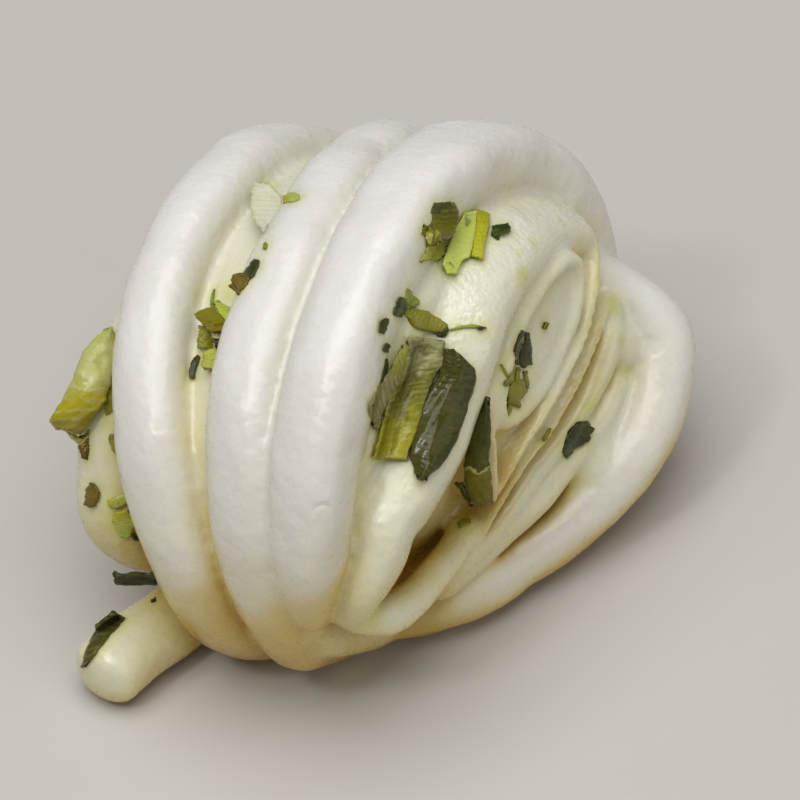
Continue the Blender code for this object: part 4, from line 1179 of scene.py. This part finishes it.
# ---- the chopped bits ----
# Finer cuts of the same spring onion: slips of leaf, shreds and crumbs that stuck to the dough.
# Each row is the place on the slanting plate, the length, the width and the turn of one bit.
DARK_BITS = (
    (19.7, 7.0, 4.9, 0.7, 80),
    (20.4, 6.7, 5.1, 0.8, 86),
    (21.1, 6.9, 4.6, 0.7, 94),
    (20.4, 6.0, 3.3, 1.6, 85),
    (0.7, 9.8, 2.2, 1.0, 70),
    (14.0, 9.6, 1.1, 0.5, 5),
    (-17.7, 17.9, 2.9, 1.4, 60),
    (-25.8, 4.3, 3.4, 0.9, 75),
    (2.8, 12.4, 2.7, 1.6, 70),
    (8.6, 9.3, 2.1, 1.3, 20),
    (1.0, 6.8, 1.3, 0.8, 70),
    (0.5, 3.6, 3.6, 0.6, 75),
    (28.3, -5.9, 5.9, 3.2, 42),
    (-34.9, -19.9, 1.3, 0.7, -35),
    (-32.5, -28.9, 0.7, 0.3, 60),
)
BROWN_BITS = (
    (-19.3, 15.9, 2.9, 2.4, 45),
    (-41.2, -13.8, 3.5, 2.0, 80),
)
OLIVE_BITS = (
    (19.4, 0.7, 3.9, 2.5, 70),
    (18.1, 2.8, 2.8, 0.5, 60),
    (19.4, 2.9, 2.9, 0.5, 85),
    (20.6, 2.5, 2.6, 0.5, 102),
    (18.5, -1.4, 2.5, 0.7, 62),
    (6.2, 10.6, 6.4, 2.4, -20),
    (23.8, -5.3, 2.2, 0.7, 60),
    (12.0, -17.8, 2.0, 1.0, 20),
    (-37.7, -6.5, 2.8, 1.0, -75),
    (23.3, 10.2, 1.2, 0.3, 75),
)
GREEN_BITS = (
    (4.5, 11.0, 3.5, 1.1, -35),
    (-16.0, 21.1, 1.0, 0.6, 80),
    (-23.5, 14.1, 2.4, 0.4, 80),
    (4.2, 13.7, 2.9, 1.6, -45),
    (12.3, 9.5, 5.0, 0.4, 3),
    (17.6, 3.6, 2.6, 0.3, -58),
)
BRIGHT_BITS = (
    (-12.4, 27.9, 2.4, 1.3, 5),
    (-37.1, -14.5, 3.3, 1.6, 25),
    (-36.4, -18.0, 4.1, 2.8, -80),
)
# Smears of juice: the place on the slanting plate, the radius and the strength of each.
JUICE_SPOTS = (
    (25.6, 25.1, 0.6, 0.60),
    (21.5, 21.9, 0.9, 0.60),
    (19.5, 20.4, 0.6, 0.60),
    (33.3, 12.7, 1.3, 0.60),
    (34.9, 8.1, 1.0, 0.60),
    (-17.9, 28.6, 1.0, 0.60),
    (-4.5, -27.6, 0.6, 0.60),
    (27.6, -12.1, 1.4, 0.60),
    (20.0, 16.8, 1.6, 0.70),
    (33.9, 13.6, 2.0, 0.70),
    (30.1, -1.2, 1.6, 0.70),
    (29.7, -5.8, 1.8, 0.70),
    (-16.1, 30.2, 2.0, 0.70),
    (-20.6, 15.1, 2.6, 0.70),
    (-0.9, -30.3, 2.0, 0.70),
    (-36.4, -16.4, 3.7, 0.70),
    (-38.4, -1.2, 2.7, 0.70),
    (7.4, 22.3, 2.3, 0.70),
    (35.9, 3.9, 1.1, 0.70),
)


def slip(name, x, y, length, width, turn, thick, seed, rows=14, cols=7):
    """One bit, narrower and torn at one end."""
    way = np.array((math.cos(math.radians(turn)), math.sin(math.radians(turn))))
    flank = np.array((way[1], -way[0]))
    rng = np.random.default_rng(seed)
    stations = np.linspace(-0.5, 0.5, 5)
    girth = width / 2.0 * np.array((0.75, 1.0, 1.05, 0.95, 0.45)) * rng.uniform(0.85, 1.15, 5)
    bend = rng.uniform(-0.08, 0.08) * length
    left, right = [], []
    for s, g in zip(stations, girth):
        spine = np.array((x, y)) + way * s * length + flank * bend * (1.0 - 4.0 * s * s)
        left.append(tuple(spine - flank * g))
        right.append(tuple(spine + flank * g))
    return laid(name, left[::-1], right[::-1], thick=thick, bow=0.10 * width, ragged=0.06 * width,
                curl=0.06 * width, lift=0.15, drape=1.3, follow=5, rows=rows, cols=cols, seed=seed)


def strewn(name, bits, finish, thick):
    """All bits of one kind as one piece."""
    made = []
    for number, (x, y, length, width, turn) in enumerate(bits):
        made.append(slip(f"{name}_{number}", x, y, length, width, turn, thick, 31 + number))
    bpy.ops.object.select_all(action="DESELECT")
    for piece in made:
        piece.select_set(True)
    bpy.context.view_layer.objects.active = made[0]
    bpy.ops.object.join()
    whole = bpy.context.object
    whole.name = name
    whole.data.name = name
    whole.data.materials.clear()
    whole.data.materials.append(finish)
    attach(whole, "root")
    onion_pieces.append(whole)


strewn("dark_bits", DARK_BITS, onion_finish(
    "dark bits", ((0.0, DARK), (0.5, DEEP), (1.0, srgb(70, 74, 30))),
    ribs=10.0, rib_tint=0.15, rib_colour=srgb(110, 114, 70), rough=0.24), 0.5)
strewn("brown_bits", BROWN_BITS, onion_finish(
    "browned bits", ((0.0, srgb(96, 78, 24)), (0.5, srgb(118, 100, 26)), (1.0, srgb(104, 84, 22))),
    ribs=8.0, rib_tint=0.2, rib_colour=srgb(140, 124, 50), rough=0.28), 0.6)
strewn("olive_bits", OLIVE_BITS, onion_finish(
    "olive bits", ((0.0, srgb(126, 122, 34)), (0.5, srgb(140, 136, 40)), (1.0, srgb(112, 108, 30))),
    ribs=10.0, rib_tint=0.2, rib_colour=srgb(170, 166, 90), rough=0.24, milky=0.2), 0.6)
strewn("green_shreds", GREEN_BITS, onion_finish(
    "green shreds", ((0.0, srgb(112, 124, 34)), (0.5, srgb(140, 152, 48)), (1.0, srgb(120, 128, 36))),
    ribs=10.0, rib_tint=0.15, rib_colour=srgb(170, 176, 90), rough=0.26), 0.3)
strewn("bright_bits", BRIGHT_BITS, onion_finish(
    "bright bits", ((0.0, BRIGHT), (0.5, srgb(180, 186, 84)), (1.0, YELLOWISH)),
    ribs=10.0, rib_tint=0.15, rib_colour=srgb(200, 206, 140), rough=0.28, milky=0.25), 0.5)

# The juice: where a cut lies, the dough round it is tinted yellow green, and so are a few smears.
JUICE_SHARE = 0.42                      # tint right beside a cut
JUICE_EDGE = 0.5                        # how far from a cut the full tint reaches
JUICE_FADE = 0.8                        # how fast it fades from there

cuts = KDTree(sum(len(p.data.vertices) for p in onion_pieces))
for piece in onion_pieces:
    for number, place in enumerate(read_points(piece.data)):
        cuts.insert(place, number)
cuts.balance()
distance = np.array([cuts.find(p)[2] for p in points]) / MM
juice = JUICE_SHARE * np.exp(-np.clip(distance - JUICE_EDGE, 0.0, None) / JUICE_FADE)
for x, y, radius, strength in JUICE_SPOTS:
    away = np.linalg.norm(points - np.array(landing(x, y)), axis=1) / MM
    juice = np.maximum(juice, strength * np.exp(-(away / radius) ** 2))
keep_values(skin, "juice", np.clip(juice, 0.0, 1.0))

# ---- the floor, the lights and the camera ----
# A plain pale table under soft light: a wide lamp overhead, a small one at the upper left that
# gives the wet glints, a weak low one at the right, and an even pale surround. The camera looks
# down on the roll from the front, square to the slanting plate.
FLOOR_SIZE = 6.0
LAMPS_FACE = Vector((0.0, 0.0, 0.03))   # the middle of the roll
CAMERA_DISTANCE = 0.8
VIEW_WIDTH = 0.115
AIM_ASIDE = 2.78                        # on the plate, where the camera looks
AIM_SLANT = -0.33
SENSOR_WIDTH = 36.0

bpy.ops.mesh.primitive_plane_add(size=FLOOR_SIZE, location=(0.0, 0.0, 0.0))
floor = bpy.context.object
floor.name = "floor"
floor_finish, floor_graph, floor_shader = new_material("pale table")
floor_place = floor_graph.add("ShaderNodeTexCoord").outputs["Object"]
floor_mottle = floor_graph.add("ShaderNodeTexNoise", Vector=floor_place, Scale=6.0, Detail=4.0)
floor_graph.feed(floor_shader, "Base Color", floor_graph.mixed(
    floor_mottle.outputs["Fac"], (0.54, 0.52, 0.49, 1.0), (0.58, 0.56, 0.53, 1.0)))
floor_shader.inputs["Roughness"].default_value = 0.6
floor.data.materials.append(floor_finish)


def lamp(name, place, width, power, tint):
    """A square soft lamp that faces the roll."""
    light = bpy.data.lights.new(name, "AREA")
    light.size = width
    light.energy = power
    light.color = tint
    made = bpy.data.objects.new(name, light)
    made.location = place
    made.rotation_euler = (LAMPS_FACE - made.location).to_track_quat("-Z", "Y").to_euler()
    scene.collection.objects.link(made)


lamp("overhead lamp", (-0.12, -0.10, 1.15), 1.1, 12.3, (1.0, 0.99, 0.975))
lamp("main lamp", (-0.50, -0.46, 0.95), 0.16, 1.75, (1.0, 0.985, 0.96))
lamp("side lamp", (0.9, -0.5, 0.42), 0.8, 2.0, (1.0, 0.97, 0.93))

surround = bpy.data.worlds.new("surround")
scene.world = surround
surround.use_nodes = True
background = surround.node_tree.nodes["Background"]
background.inputs["Color"].default_value = (1.0, 0.99, 0.97, 1.0)
background.inputs["Strength"].default_value = 0.14
scene.view_settings.view_transform = "Standard"

camera = bpy.data.cameras.new("camera")
camera.sensor_width = SENSOR_WIDTH
camera.lens = SENSOR_WIDTH * CAMERA_DISTANCE / VIEW_WIDTH
camera.clip_start = 0.01
camera_object = bpy.data.objects.new("camera", camera)
scene.collection.objects.link(camera_object)
camera_object.location = plate_point(AIM_ASIDE, AIM_SLANT, CAMERA_DISTANCE / MM)
camera_object.rotation_euler = (-TOWARDS).to_track_quat("-Z", "Y").to_euler()
scene.camera = camera_object
